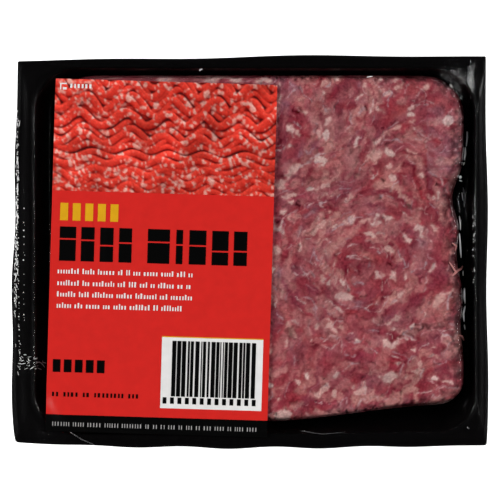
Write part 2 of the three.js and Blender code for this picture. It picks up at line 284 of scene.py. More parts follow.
def grid(rows, columns):
    """The quads of a grid of points, and the numbers of the points round its rim."""
    index = np.arange(rows * columns).reshape(rows, columns)
    corners = (index[:-1, :-1], index[:-1, 1:], index[1:, 1:], index[1:, :-1])
    rim = np.concatenate([index[0, :-1], index[:-1, -1], index[-1, :0:-1], index[:0:-1, 0]])
    return np.stack(corners, axis=2).reshape(-1, 4), rim


ABOVE_ALL = 60


def height_below(tree, x, y, missed=None):
    """How high a surface lies at a place of the plan, seen from above, or missed where there is none."""
    hit = tree.ray_cast(Vector((x, y, ABOVE_ALL)), Vector((0, 0, -1)))[0]
    return hit.z if hit else missed


def smoothed(controls, steps):
    """Rings on smooth curves through the control rings, with so many steps in each interval."""
    controls = [np.asarray(c) for c in controls]
    padded = [2 * controls[0] - controls[1], *controls, 2 * controls[-1] - controls[-2]]
    rings = []
    for i, count in enumerate(steps):
        p0, p1, p2, p3 = padded[i : i + 4]
        pairs = ((p0, p1), (p1, p2), (p2, p3))
        d0, d1, d2 = (np.linalg.norm(b - a, axis=1, keepdims=True) + 1e-9 for a, b in pairs)
        m1 = d1 * ((p1 - p0) / d0 - (p2 - p0) / (d0 + d1) + (p2 - p1) / d1)
        m2 = d1 * ((p2 - p1) / d1 - (p3 - p1) / (d1 + d2) + (p3 - p2) / d2)
        for k in range(count):
            t = k / count
            rings.append(
                (2 * t**3 - 3 * t**2 + 1) * p1
                + (t**3 - 2 * t**2 + t) * m1
                + (-2 * t**3 + 3 * t**2) * p2
                + (t**3 - t**2) * m2
            )
    rings.append(controls[-1])
    return rings


def skin(name, top, under, material):
    """A closed thin skin from its top rings and its under rings, both from the cut edge inwards."""
    stack = [*reversed(under), *top]
    count = len(top[0])
    points = np.concatenate(stack)
    faces = ring_faces(len(stack), count).tolist()
    faces.append(list(range(count))[::-1])
    faces.append(list(range(len(points) - count, len(points))))
    return mesh_object(name, points, faces, material)


# Materials
PLASTIC_INDEX = 1.45
MEAT_INDEX = 1.38
TRAY_BLACK = (0.0016, 0.0014, 0.0015)
# The share of light that the film's face reflects seen straight on, what a crumpled place adds to that,
# the share that its clear creases reflect, and how much more is reflected at a grazing angle.
FILM_GLOSS = 0.004
CRUMPLED_GLOSS = 0.1
CREASE_GLOSS = 0.8
GRAZING_GLOSS = 0.9
GRAZING_POWER = 5
FILM_ROUGHNESS = 0.1
CREASE_ROUGHNESS = 0.24
# How much of the light is stopped by the painted highlights: the whitest creases and the seal's dots, painted
# pale to stand for bright glints.
PAINTED_GLINT_SHARE = 0.8
# What the meat's finest grain multiplies its colours by, between its muscle and its threads of fat.
MEAT_GRAIN_DARK = (0.86, 0.76, 0.78, 1)
MEAT_GRAIN_PALE = (1.13, 1.26, 1.23, 1)
PRINT_ROUGHNESS = 0.3


def linear(values):
    """Photo colours of 0 to 1 as linear light."""
    return np.where(values <= 0.04045, values / 12.92, ((np.maximum(values, 0) + 0.055) / 1.055) ** 2.4)


class Shader:
    """A material's node tree with its Principled shader."""

    def __init__(self, name, colour=(0.5, 0.5, 0.5), roughness=0.5, **sockets):
        self.material = bpy.data.materials.new(name)
        self.material.use_nodes = True
        self.tree = self.material.node_tree
        self.main = self.tree.nodes["Principled BSDF"]
        self.main.inputs["Base Color"].default_value = (*colour, 1)
        self.main.inputs["Roughness"].default_value = roughness
        for socket, value in sockets.items():
            self.main.inputs[socket.replace("_", " ")].default_value = value

    def node(self, kind, **values):
        """A new node, with plain values on its sockets or as its settings."""
        made = self.tree.nodes.new(kind)
        for key, value in values.items():
            if key in made.inputs:
                made.inputs[key].default_value = value
            else:
                setattr(made, key, value)
        return made

    def feed(self, value, target):
        """Joins another node's output to a socket, or sets a plain value on it."""
        if isinstance(value, bpy.types.NodeSocket):
            self.tree.links.new(value, target)
        else:
            target.default_value = value

    def feed_main(self, value, socket):
        self.feed(value, self.main.inputs[socket])

    def maths(self, operation, *values):
        made = self.node("ShaderNodeMath", operation=operation)
        for value, target in zip(values, made.inputs):
            self.feed(value, target)
        return made.outputs[0]

    def multiply(self, first, second):
        """The product of two colours."""
        made = self.node("ShaderNodeMix", data_type="RGBA", blend_type="MULTIPLY", Factor=1)
        self.feed(first, made.inputs[6])
        self.feed(second, made.inputs[7])
        return made.outputs[2]

    def attribute(self, name, output="Color"):
        return self.node("ShaderNodeAttribute", attribute_name=name).outputs[output]

    def noise(self, scale, detail=3, roughness=0.5):
        """Noise in the object's own coordinates, in metres, so its grain keeps its true size."""
        place = self.node("ShaderNodeTexCoord")
        made = self.node("ShaderNodeTexNoise", Scale=scale, Detail=detail, Roughness=roughness)
        self.feed(place.outputs["Object"], made.inputs["Vector"])
        return made.outputs["Fac"]

    def ramp(self, factor, low, high):
        """Runs from one stop to another, each a place and a grey value or a colour."""
        made = self.node("ShaderNodeValToRGB")
        for element, (place, value) in zip(made.color_ramp.elements, (low, high)):
            element.position = place
            element.color = value if hasattr(value, "__len__") else (value, value, value, 1)
        self.feed(factor, made.inputs["Fac"])
        return made.outputs["Color"]

    def bumped(self, height, strength, distance):
        made = self.node("ShaderNodeBump", Strength=strength, Distance=distance)
        self.feed(height, made.inputs["Height"])
        return made.outputs["Normal"]

    def bump(self, scale, detail, strength, distance):
        """Fine relief over the whole face."""
        self.feed_main(self.bumped(self.noise(scale, detail), strength, distance), "Normal")


def black_plastic():
    shader = Shader("black_tray_sheet", TRAY_BLACK, IOR=PLASTIC_INDEX, Specular_IOR_Level=0.03)
    shader.feed_main(shader.ramp(shader.noise(420, detail=4), (0.3, 0.35), (0.7, 0.5)), "Roughness")
    shader.bump(900, 2, 0.06, 0.0002)
    return shader.material


def clear_film(name, straight_on, roughness, crumple=False):
    """Clear film: what is behind shows, with gloss over its outer face that grows towards its edges."""
    shader = Shader(name)
    shader.tree.nodes.remove(shader.main)
    clear = shader.node("ShaderNodeBsdfTransparent", Color=(0.985, 0.985, 0.99, 1))
    gloss = shader.node("ShaderNodeBsdfGlossy", Color=(1, 1, 1, 1), Roughness=roughness)
    if crumple:
        amount = shader.attribute("crumple", "Fac")
        straight_on = shader.maths("MULTIPLY_ADD", amount, CRUMPLED_GLOSS, straight_on)
        wrinkle = shader.maths("MULTIPLY", shader.noise(650, roughness=0.6), amount)
        shader.feed(shader.bumped(wrinkle, 1, 0.0012), gloss.inputs["Normal"])
    facing = shader.node("ShaderNodeLayerWeight", Blend=0.5).outputs["Facing"]
    grazing = shader.maths("POWER", facing, GRAZING_POWER)
    share = shader.maths("MULTIPLY_ADD", grazing, GRAZING_GLOSS, straight_on)
    behind = shader.node("ShaderNodeNewGeometry").outputs["Backfacing"]
    both = shader.node("ShaderNodeMixShader")
    shader.feed(shader.maths("MULTIPLY", share, shader.maths("SUBTRACT", 1, behind)), both.inputs["Fac"])
    shader.feed(clear.outputs["BSDF"], both.inputs[1])
    shader.feed(gloss.outputs["BSDF"], both.inputs[2])
    shader.feed(both.outputs["Shader"], shader.tree.nodes["Material Output"].inputs["Surface"])
    return shader.material


def painted_glint_film():
    """Painted highlight: film pieces given a pale diffuse colour that stands for bright glints, part clear,
    part bright and glossy.
    """
    shader = Shader("painted_glint_film", (0.9, 0.9, 0.9), 0.25, IOR=PLASTIC_INDEX, Alpha=PAINTED_GLINT_SHARE)
    shader.bump(900, 2, 0.3, 0.0003)
    return shader.material


def tinted_meat():
    """Raw mince: its painted colours and painted shade, with a fine grain and a damp, nearly matt face."""
    shader = Shader("raw_mince", IOR=MEAT_INDEX, Specular_IOR_Level=0.12)
    threads = shader.noise(1150, detail=4, roughness=0.7)
    grain = shader.ramp(threads, (0.34, MEAT_GRAIN_DARK), (0.66, MEAT_GRAIN_PALE))
    shader.feed_main(shader.multiply(shader.attribute("meat_tint_and_shade"), grain), "Base Color")
    shader.feed_main(shader.ramp(shader.noise(700), (0.35, 0.42), (0.65, 0.6)), "Roughness")
    shader.bump(1500, 4, 0.25, 0.0003)
    return shader.material


def print_finish(name, colour, specular=0.5):
    """Glossy print or label stock, with a faint mottle."""
    shader = Shader(name, colour, PRINT_ROUGHNESS, IOR=PLASTIC_INDEX, Specular_IOR_Level=specular)
    mottle = shader.ramp(shader.noise(260, detail=4), (0.3, 0.955), (0.7, 1.045))
    shader.feed_main(shader.multiply((*colour, 1), mottle), "Base Color")
    shader.bump(500, 2, 0.05, 0.0002)
    return shader.material


def picture_finish():
    shader = Shader("label_picture", roughness=PRINT_ROUGHNESS, IOR=PLASTIC_INDEX)
    shader.feed_main(shader.attribute("picture_tint"), "Base Color")
    shader.bump(500, 2, 0.05, 0.0002)
    return shader.material


# What a white surface sends to the camera on the label and under the film, and the gloss that adds to it,
# so that colours measured in the photo come out as in the photo.
LIGHT_ON_LABEL = 1.1
LIGHT_UNDER_FILM = 1.02
GLARE_ON_LABEL = 0.008
GLARE_ON_FILM = 0.0225
ALBEDO_RANGE = (0.001, 0.95)


def on_label(colours):
    """What photo colours of 0 to 255 are as print."""
    return np.clip((linear(np.array(colours) / 255) - GLARE_ON_LABEL) / LIGHT_ON_LABEL, *ALBEDO_RANGE)


def under_film(colours):
    """What photo colours of 0 to 1 are as meat under the film."""
    return np.clip((linear(colours) - GLARE_ON_FILM) / LIGHT_UNDER_FILM, *ALBEDO_RANGE)


# Rasters that detail is painted on
class Field:
    """A raster over a rectangle of the plan, in millimetres."""

    def __init__(self, left, right, bottom, top, step):
        self.step = step
        self.left = left
        self.bottom = bottom
        self.x = np.arange(left, right + step, step)
        self.y = np.arange(bottom, top + step, step)
        self.X, self.Y = np.meshgrid(self.x, self.y)
        self.shape = self.X.shape

    def cloud(self, rng, cell):
        """Smooth random values with features about cell wide, about 0 with a deviation of 1."""
        rows = int((self.y[-1] - self.bottom) / cell) + 3
        columns = int((self.x[-1] - self.left) / cell) + 3
        coarse = rng.standard_normal((rows, columns))
        gx = (self.x - self.left) / cell
        gy = (self.y - self.bottom) / cell
        ix, iy = gx.astype(int), gy.astype(int)
        fx, fy = smooth(gx - ix), smooth(gy - iy)
        across = coarse[:, ix] * (1 - fx) + coarse[:, ix + 1] * fx
        made = across[iy] * (1 - fy)[:, None] + across[iy + 1] * fy[:, None]
        return (made - made.mean()) / made.std()

    def window(self, x, y, reach):
        i0, i1 = (int((value - self.left) / self.step) for value in (x - reach, x + reach))
        j0, j1 = (int((value - self.bottom) / self.step) for value in (y - reach, y + reach))
        return (
            slice(max(0, j0), min(self.shape[0], j1 + 2)),
            slice(max(0, i0), min(self.shape[1], i1 + 2)),
        )

    def sample(self, image, x, y):
        """The image's values at points of the plan."""
        gx = np.clip((np.asarray(x) - self.left) / self.step, 0, self.shape[1] - 1.001)
        gy = np.clip((np.asarray(y) - self.bottom) / self.step, 0, self.shape[0] - 1.001)
        ix, iy = gx.astype(int), gy.astype(int)
        fx, fy = gx - ix, gy - iy
        if image.ndim == 3:
            fx, fy = fx[..., None], fy[..., None]
        low = image[iy, ix] * (1 - fx) + image[iy, ix + 1] * fx
        high = image[iy + 1, ix] * (1 - fx) + image[iy + 1, ix + 1] * fx
        return low * (1 - fy) + high * fy

    def smear(self, image, angle, reach):
        """The image drawn out along the strands by averaging it along their direction."""
        east, north = np.cos(angle), np.sin(angle)
        total = image.copy()
        count = 1
        for way in (-1, 1):
            px, py = np.meshgrid(*(np.arange(size, dtype=float) for size in self.shape[::-1]))
            ix, iy = px.astype(int), py.astype(int)
            for _ in range(int(reach / self.step)):
                px += way * east[iy, ix]
                py += way * north[iy, ix]
                ix = np.clip(px + 0.5, 0, self.shape[1] - 1).astype(int)
                iy = np.clip(py + 0.5, 0, self.shape[0] - 1).astype(int)
                total += image[iy, ix]
                count += 1
        return total / count

    def blurred(self, image, radius):
        """The image after two box blurs of that radius."""
        reach = max(1, int(round(radius / self.step)))
        for _ in range(2):
            for axis in (0, 1):
                padded = np.concatenate(
                    [
                        np.repeat(np.take(image, [0], axis), reach + 1, axis),
                        image,
                        np.repeat(np.take(image, [-1], axis), reach, axis),
                    ],
                    axis,
                )
                total = np.cumsum(padded, axis)
                width = 2 * reach + 1
                upper = np.take(total, np.arange(width, width + image.shape[axis]), axis)
                lower = np.take(total, np.arange(0, image.shape[axis]), axis)
                image = (upper - lower) / width
        return image


# The mince
SWIRL_CENTRE = (43, -5)
UPPER_SEAM = 29
LOWER_SEAM = -28
LOWER_SEAM_SAG = 6


def lower_seam(x):
    return LOWER_SEAM - LOWER_SEAM_SAG * np.sin(np.pi * (x - 10) / 66)


def flow(x, y):
    """The way the strands lie: a swirl in the middle band, slanting strands above and below it."""
    upper = 0.6 + 0.5 * np.sin(x / 17) + 0.3 * np.cos(y / 9)
    lower = 0.5 + 0.25 * np.sin(x / 15 + 1)
    swirl = np.arctan2(y - SWIRL_CENTRE[1], x - SWIRL_CENTRE[0]) + math.pi / 2
    return np.where(y > UPPER_SEAM, upper, np.where(y < lower_seam(x), lower, swirl))


# What is painted: from and to along x and y, and the raster's step.
PAINTED = (-79, 87, -70, 73)
PAINT_STEP = 0.2
# Photo colours of the meat, and how large a share of the scraps has each.
MUSCLE_DARK = np.array([111, 51, 60]) / 255
MUSCLE_MIDDLE = np.array([136, 64, 73]) / 255
MUSCLE_BRIGHT = np.array([155, 66, 72]) / 255
MUSCLE_DULL = np.array([134, 78, 88]) / 255
FAT_SOFT = np.array([173, 109, 108]) / 255
FAT_PALE = np.array([190, 139, 130]) / 255
FAT_WHITE = np.array([206, 172, 165]) / 255
GRISTLE = np.array([154, 128, 137]) / 255
SCRAPS = (
    (MUSCLE_DARK, 0.16),
    (MUSCLE_MIDDLE, 0.22),
    (MUSCLE_BRIGHT, 0.24),
    (MUSCLE_DULL, 0.07),
    (FAT_SOFT, 0.18),
    (FAT_PALE, 0.06),
    (GRISTLE, 0.02),
)
STRAND_TONES = (
    MUSCLE_DARK,
    MUSCLE_MIDDLE,
    MUSCLE_BRIGHT,
    MUSCLE_DULL,
    MUSCLE_MIDDLE,
    MUSCLE_BRIGHT,
    FAT_SOFT,
)
# How many pieces of each kind are laid, and for the scraps their size, number and blur.
STRANDS = 1500
SCRAP_SIZES = ((3.2, 1000, 1.8), (1.7, 1500, 1.0), (0.8, 1200, 0.5))
SMEARED_FAT = 430
CRISP_FAT = 250
FIBRES = 800
GAPS = 260
# Where the film's line runs down over the meat.
FILM_LINE_X = 69.2
# The largest pieces of fat: x, y, length, width, the angle they lie at and how white they are.
LARGE_FAT = (
    (-33.0, 67.6, 6.0, 2.4, 8, 0.4),
    (-14.0, 68.0, 8.0, 2.6, 8, 0.6),
    (-5.5, 67.8, 5.0, 2.6, -10, 0.8),
    (5.0, 67.6, 6.0, 2.4, 5, 0.5),
    (30.0, 45.8, 5.0, 3.6, -60, 1.0),
    (27.6, 36.8, 6.6, 3.6, -20, 0.9),
    (54.6, 39.2, 4.2, 2.6, -20, 0.9),
    (49.0, 38.2, 7.5, 4.0, 20, 0.3),
    (77.6, 51.5, 4.6, 3.8, 35, 1.0),
    (55.7, 29.4, 3.4, 2.6, -10, 0.7),
    (17.0, 32.6, 8.5, 2.8, 42, 0.6),
    (12.5, 26.8, 4.0, 4.4, 60, 0.5),
    (16.2, 48.6, 3.2, 2.6, 20, 0.8),
    (15.5, 22.3, 6.6, 1.9, 22, 0.6),
    (40.0, 13.5, 3.6, 3.0, 30, 0.8),
    (27.0, 9.8, 7.2, 2.4, 45, 0.4),
    (53.0, 13.6, 4.0, 2.2, -15, 0.8),
    (66.5, 8.6, 6.2, 2.0, -55, 0.8),
    (46.6, 7.6, 4.4, 2.2, -25, 0.7),
    (11.0, 1.0, 3.4, 4.2, 80, 0.5),
    (50.0, -8.4, 2.8, 2.8, 0, 0.8),
    (37.3, -17.0, 6.4, 3.6, 10, 0.7),
    (56.0, -26.2, 8.6, 2.4, 28, 0.4),
    (74.0, -18.4, 7.6, 3.0, 60, 0.4),
    (32.0, -29.0, 6.4, 2.6, -35, 0.6),
    (55.4, -35.4, 7.4, 3.4, 15, 0.7),
    (54.6, -48.8, 5.8, 4.8, 55, 0.8),
    (75.2, -59.5, 9.4, 2.4, 10, 1.0),
    (12.8, -63.4, 7.6, 4.4, 25, 0.8),
    (24.0, -68.0, 9.6, 3.0, 25, 0.6),
    (29.0, -53.6, 8.0, 3.2, 40, 0.5),
    (43.6, -54.0, 6.0, 3.0, 10, 0.5),
    (66.0, -45.0, 6.0, 2.4, 55, 0.5),
    (33.6, -47.4, 2.6, 2.2, 10, 0.8),
    (54.4, -63.0, 3.2, 2.4, 30, 0.8),
)


class Mince:
    """Everything painted on the block's pressed face: its colours, with painted shade in its gaps and
    hollows, and its relief.
    """

    def __init__(self, seed):
        self.rng = np.random.default_rng(seed)
        self.field = Field(*PAINTED, PAINT_STEP)
        f = self.field
        self.angle = flow(f.X, f.Y) + 0.35 * f.cloud(self.rng, 9) + 0.25 * f.cloud(self.rng, 3.5)
        self.ragged = 0.6 * f.cloud(self.rng, 1.7) + 0.4 * f.cloud(self.rng, 0.7)
        self.height = np.full(f.shape, -0.3)
        self.colour = np.zeros((*f.shape, 3))
        # Painted shade in the gaps between strands and in the seams.
        self.dark = np.zeros(f.shape)
        self.lay_ground()
        self.lay_strands()
        self.lay_scraps()
        self.lay_fat()
        self.lay_fibres()
        self.veil()
        self.open_gaps()
        self.press()

    def random(self, low, high):
        return low + (high - low) * self.rng.random()

    def spot(self):
        f = self.field
        return self.random(f.left + 4, f.x[-1] - 3), self.random(f.bottom + 3, f.y[-1] - 3)

    def pick(self):
        """One of the scrap colours, with a little variation of its own."""
        draw = self.rng.random() * sum(share for _, share in SCRAPS)
        for colour, share in SCRAPS:
            draw -= share
            if draw <= 0:
                break
        return colour + self.rng.normal(0, 0.012) + self.rng.normal(0, 0.006, 3)

    def paint(self, window, colour, mask):
        self.colour[window] = mix(self.colour[window], colour, mask[..., None])

    def blob(self, x, y, length, width, turn=0.0, bend=0.0, ragged=0.3, angle=None):
        """A window of the field, with the distance outside a bent capsule there and the share across it."""
        f = self.field
        window = f.window(x, y, length / 2 + width + 1)
        dx, dy = f.X[window] - x, f.Y[window] - y
        if angle is None:
            angle = self.angle[int((y - f.bottom) / f.step), int((x - f.left) / f.step)]
        angle = angle + turn
        along = dx * math.cos(angle) + dy * math.sin(angle)
        across = dy * math.cos(angle) - dx * math.sin(angle)
        across = across - bend * along * along
        half = max(0.0, (length - width) / 2)
        past = along - np.clip(along, -half, half)
        reach = np.hypot(past, across)
        outside = reach - width / 2 + ragged * self.ragged[window]
        return window, outside, reach / (width / 2)

    def lay_ground(self):
        """Cloudy meat, drawn out a little along the strands."""
        f = self.field
        tone = 0.5 * f.cloud(self.rng, 8) + 0.7 * f.cloud(self.rng, 3.5) + 0.3 * f.cloud(self.rng, 1.2)
        tone = f.smear(tone, self.angle, 1.6)
        share = clamp01(0.5 + 0.4 * tone)[..., None]
        self.colour = mix(MUSCLE_DARK, MUSCLE_BRIGHT, share)

    def lay_strands(self):
        """Pressed strands, each over those before it, with its own tone and a low rounded back."""
        for _ in range(STRANDS):
            x, y = self.spot()
            width = self.random(2.8, 5.2)
            length = self.random(5, 15)
            bend = self.random(-0.02, 0.02)
            window, outside, across = self.blob(x, y, length, width, self.random(-0.35, 0.35), bend, 0.5)
            mask = smooth(0.5 - outside / 0.9)
            back = self.random(-0.42, -0.05) + 0.3 * np.clip(1 - across**2, 0, 1)
            self.height[window] = mix(self.height[window], back, mask)
            tone = STRAND_TONES[self.rng.integers(len(STRAND_TONES))]
            self.paint(window, tone, 0.5 * mask * self.random(0.4, 1))
        self.colour = self.field.smear(self.colour, self.angle, 1.0)

    def lay_scraps(self):
        """The small scraps of muscle and fat that the strands are made of, blurred by the smearing."""
        for size, count, blur in SCRAP_SIZES:
            for _ in range(count):
                x, y = self.spot()
                length = size * self.random(1.6, 4.6)
                width = size * self.random(1.0, 2.1)
                turn = self.random(-0.35, 0.35)
                window, outside, _ = self.blob(
                    x, y, length, width, turn, self.random(-0.05, 0.05), 0.3 * size
                )
                mask = smooth(0.5 - outside / (blur * self.random(0.5, 1.5)))
                self.paint(window, self.pick(), 0.52 * mask * self.random(0.3, 1))
            self.colour = self.field.smear(self.colour, self.angle, 0.6 * size)

    def lay_fat(self):
        """Pieces of fat, first the smeared ones and then those that lie crisp against the film."""
        for _ in range(SMEARED_FAT):
            x, y = self.spot()
            length = self.random(3, 13)
            width = self.random(1.1, 4.0)
            turn = self.random(-0.3, 0.3)
            window, outside, _ = self.blob(x, y, length, width, turn, self.random(-0.05, 0.05), 0.55)
            mask = smooth(0.5 - outside / self.random(0.6, 2.4))
            self.paint(window, mix(FAT_SOFT, FAT_PALE, self.random(0, 1)), mask * self.random(0.25, 0.85))
        for _ in range(CRISP_FAT):
            x, y = self.spot()
            length = self.random(1.4, 5.0)
            width = self.random(0.9, 2.5)
            self.chunk(x, y, length, width, self.random(0.1, 1.0), self.random(-0.6, 0.6))
        for x, y, length, width, angle, whiteness in LARGE_FAT:
            self.chunk(x, y, length, width, whiteness, 0, math.radians(angle))

    def chunk(self, x, y, length, width, whiteness, turn, angle=None):
        """A piece of fat with a soft pink rim and a paler heart."""
        bend = self.random(-0.05, 0.05)
        window, outside, _ = self.blob(x, y, length, width, turn, bend, 0.42, angle)
        rim = smooth(0.5 - (outside - 0.25) / 1.3)
        heart = smooth(0.5 - (outside + 0.3) / 0.6)
        self.paint(window, FAT_SOFT, 0.75 * rim)
        self.paint(window, mix(FAT_PALE, FAT_WHITE, whiteness), heart * (0.7 + 0.3 * whiteness))
        self.height[window] += 0.1 * heart

    def lay_fibres(self):
        """Thin pale threads of connective tissue."""
        for _ in range(FIBRES):
            x, y = self.spot()
            length = self.random(1.5, 8)
            width = self.random(0.18, 0.45)
            bend = self.random(-0.16, 0.16)
            window, outside, _ = self.blob(x, y, length, width, self.random(-0.7, 0.7), bend, 0.14)
            mask = smooth(0.5 - outside / 0.3) * self.random(0.3, 0.95)
            self.paint(window, mix(GRISTLE, FAT_WHITE, self.random(0.1, 0.9)), mask)

    def veil(self):
        """The film's faint haze over the meat, and the pale zone beyond the film's line."""
        f = self.field
        haze = 0.12 * clamp01(0.4 + 0.5 * f.cloud(self.rng, 7) + 0.3 * f.cloud(self.rng, 2.5))
        beyond = smooth((f.X - FILM_LINE_X) / 0.4) * smooth((f.Y - 27) / 5) * smooth((60 - f.Y) / 5)
        haze = np.maximum(haze, 0.34 * beyond * clamp01(0.7 + 0.35 * f.cloud(self.rng, 2)))
        self.colour = mix(self.colour, GRISTLE, haze[..., None])

    def open_gaps(self):
        """Small gaps between strands, and the two seams between rows of strands, sunk and darkened by painted
        shade.
        """
        f = self.field
        for _ in range(GAPS):
            x, y = self.spot()
            length = self.random(0.6, 3.2)
            width = self.random(0.4, 1.0)
            window, outside, _ = self.blob(x, y, length, width, self.random(-0.8, 0.8), 0, 0.4)
            mask = smooth(0.5 - outside / 0.6) * self.random(0.2, 0.7)
            self.dark[window] = np.maximum(self.dark[window], mask)
            self.height[window] -= 0.25 * mask
        wander = 1.4 * f.cloud(self.rng, 6) + 0.4 * f.cloud(self.rng, 1.5)
        upper = np.abs(f.Y - UPPER_SEAM + 0.03 * (f.X - 44) - wander)
        lower = np.abs(f.Y - lower_seam(f.X) - wander)
        for distance, depth in ((upper, 0.5), (lower, 0.8)):
            broken = clamp01(0.5 + 0.6 * f.cloud(self.rng, 5))
            seam = np.exp(-((distance / 0.8) ** 2)) * broken * depth
            self.dark = np.maximum(self.dark, 0.5 * seam)
            self.height -= 0.45 * seam

    def press(self):
        """The film presses the high spots flat, painted shade darkens the gaps and hollows, and every edge
        wavers a little.
        """
        f = self.field
        self.height += 0.05 * f.smear(f.cloud(self.rng, 0.8), self.angle, 1)
        self.height = np.minimum(self.height, 0.02 * self.ragged)
        self.height = f.blurred(self.height, 0.2)
        hollow = clamp01((f.blurred(self.height, 1.1) - self.height) / 0.25)
        mottle = 0.97 + 0.05 * f.cloud(self.rng, 0.6) + 0.02 * f.cloud(self.rng, 11)
        # Painted shade in the gaps, seams and hollows; the mottle is the meat's own tone.
        shade = (1 - 0.45 * self.dark - 0.2 * hollow) * mottle
        self.colour = self.colour * shade[..., None]
        waver_x = f.X + 0.3 * f.cloud(self.rng, 2.4) + 0.12 * f.cloud(self.rng, 0.8)
        waver_y = f.Y + 0.3 * f.cloud(self.rng, 2.4) + 0.12 * f.cloud(self.rng, 0.8)
        self.colour = f.sample(self.colour, waver_x, waver_y)


# How far the face rounds down at the block's rim, and over what distance inwards.
SHOULDER_DROP = 6.3
SHOULDER_REACH = 0.9
# The face's grid: fine where the meat shows, coarser beside the label's edge and coarse under the label.
FINE_STEP = 0.4
STRIP_STEP = 1.2
HIDDEN_STEP = 4.0
FINE_FROM = 5
STRIP_FROM = -45
# The rings down the block's side, and the painted shade that darkens the side beside the face.
SIDE_RINGS = 8
SIDE_SHADE = 0.28


def block_depth(x, y):
    """How far inside the straight rounded block a point lies."""
    middle_x, middle_y = middle_of(MEAT)
    half_x, half_y = span_of(MEAT) / 2
    quarter = np.where(y >= middle_y, np.where(x >= middle_x, 0, 1), np.where(x < middle_x, 2, 3))
    radius = np.array(MEAT["radii"], float)[quarter]
    qx = np.abs(x - middle_x) - half_x + radius
    qy = np.abs(y - middle_y) - half_y + radius
    return radius - np.minimum(np.maximum(qx, qy), 0) - np.hypot(np.maximum(qx, 0), np.maximum(qy, 0))


def row_ends(y):
    """Where a row of the straight rounded block starts and ends."""
    def cut(corner, edge, way):
        radius = MEAT["radii"][corner]
        past = np.clip((y - MEAT[edge] + way * radius) * way, 0, radius)
        return radius - np.sqrt(radius**2 - past**2)

    left = MEAT["left"] + cut(1, "top", 1) + cut(2, "bottom", -1)
    right = MEAT["right"] - cut(0, "top", 1) - cut(3, "bottom", -1)
    return left, right


def column_places():
    """Columns as shares of a row, far apart under the label and close where the meat shows."""
    places = np.concatenate([
        np.arange(MEAT["left"], STRIP_FROM, HIDDEN_STEP),
        np.arange(STRIP_FROM, FINE_FROM, STRIP_STEP),
        np.linspace(FINE_FROM, MEAT["right"], int((MEAT["right"] - FINE_FROM) / FINE_STEP)),
    ])
    return (places - MEAT["left"]) / span_of(MEAT)[0]


def rim_shade(painted, x, y, depth):
    """Painted shade: the block darkens towards its rim, over a broad ragged band at the right end, narrow
    elsewhere.
    """
    off_corner = smooth((62 - np.abs(y)) / 16)
    at_right = smooth((x - 66) / 14) * off_corner
    at_corner = smooth((x - 50) / 16) * (1 - off_corner)
    at_top = smooth((y - MEAT["top"] + 5) / 4)
    darkest = mix(mix(mix(0.5, 0.8, at_top), 0.22, at_corner), 0.16, at_right)
    ragged = 1 + 0.5 * painted.field.sample(painted.ragged, x, y)
    reach = (3.0 + 5.5 * at_right + 2.6 * at_corner) * np.maximum(ragged, 0.5)
    return mix(darkest, 1.0, smooth((depth + 0.3) / reach))


def block_face(painted):
    """The pressed face as rows of points, and how far each point lies inside the ragged rim."""
    f = painted.field
    rows = np.linspace(MEAT["bottom"], MEAT["top"], int(span_of(MEAT)[1] / FINE_STEP))
    left, right = row_ends(rows)
    share = column_places()
    straight_x = left[:, None] + (right - left)[:, None] * share
    straight_y = np.repeat(rows[:, None], len(share), axis=1)
    depth = np.maximum(block_depth(straight_x, straight_y), 0)
    x, y = uneven(straight_x, straight_y, MEAT, True)
    ragged_depth = np.maximum(depth - 0.7 * clamp01(f.sample(painted.ragged, x, y)) * (depth < 3), 0)
    drop = SHOULDER_DROP * np.exp(-ragged_depth / SHOULDER_REACH)
    relief = f.sample(painted.height, x, y) * smooth(depth / 2)
    return np.stack([x, y, MEAT_TOP + crown(x, y) - drop + relief], axis=2), ragged_depth


def block_sides(rim):
    """Rings down the block's lumpy side, from under its rim to its base."""
    away = rim - (*BLOCK_MIDDLE, 0)
    away[:, 2] = 0
    away /= np.linalg.norm(away, axis=1, keepdims=True)
    rings = []
    for k in range(1, SIDE_RINGS + 1):
        down = k / SIDE_RINGS
        belly = math.sin(math.pi * down)
        lump = 0.25 * np.sin(rim[:, 0] * 1.7 + 3 * down) * np.cos(rim[:, 1] * 1.9 - 4 * down)
        moved = rim - away * (0.8 * down**6 - 0.3 * belly + lump * belly)[:, None]
        moved[:, 2] = mix(rim[:, 2], SHEET + GAP, down)
        rings.append(moved)
    return rings


def make_mince(painted):
    face, depth = block_face(painted)
    faces, rim = grid(*depth.shape)
    top = face.reshape(-1, 3)
    points = np.concatenate([top, *block_sides(top[rim]), [[*BLOCK_MIDDLE, SHEET + GAP]]])
    count = len(rim)
    levels = [rim] + [len(top) + k * count + np.arange(count) for k in range(SIDE_RINGS)]
    bands = np.concatenate([band(upper, lower) for upper, lower in zip(levels, levels[1:])])
    base = np.stack([np.roll(levels[-1], -1), levels[-1], np.full(count, len(points) - 1)], axis=1)
    mince = mesh_object("mince_block", points, faces.tolist() + bands.tolist() + base.tolist(), tinted_meat())
    tint = under_film(painted.field.sample(painted.colour, points[:, 0], points[:, 1]))
    # Painted shade: the block's side is darkened throughout, and its face towards its rim.
    painted_edge_shade = np.full(len(points), SIDE_SHADE)
    painted_edge_shade[: len(top)] = rim_shade(painted, top[:, 0], top[:, 1], depth.ravel())
    colour_attribute(mince, "meat_tint_and_shade", tint * painted_edge_shade[:, None])
    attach(mince, "root")
    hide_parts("mince")


# The tray and the film
# The pocket's wall: shares of the way across from the lip to the floor, and of the way down.
WALL = ((0.05, 0.03), (0.16, 0.13), (0.45, 0.42), (0.72, 0.72), (0.9, 0.92), (1.06, 0.99))
FLOOR_SHARE = 1.25
TRAY_STEPS = (2, 2, 2, 2, 3, 2, 2, 3, 2)
# The tray's flange turns down into the lip over the last of its width.
LIP_SHARE = 0.97


def spread(points, by):
    """A ring pushed outwards from the pocket's middle."""
    moved = points.copy()
    moved[:, :2] += by * (points[:, :2] - middle_of(LIP)) / (span_of(LIP) / 2)
    return moved


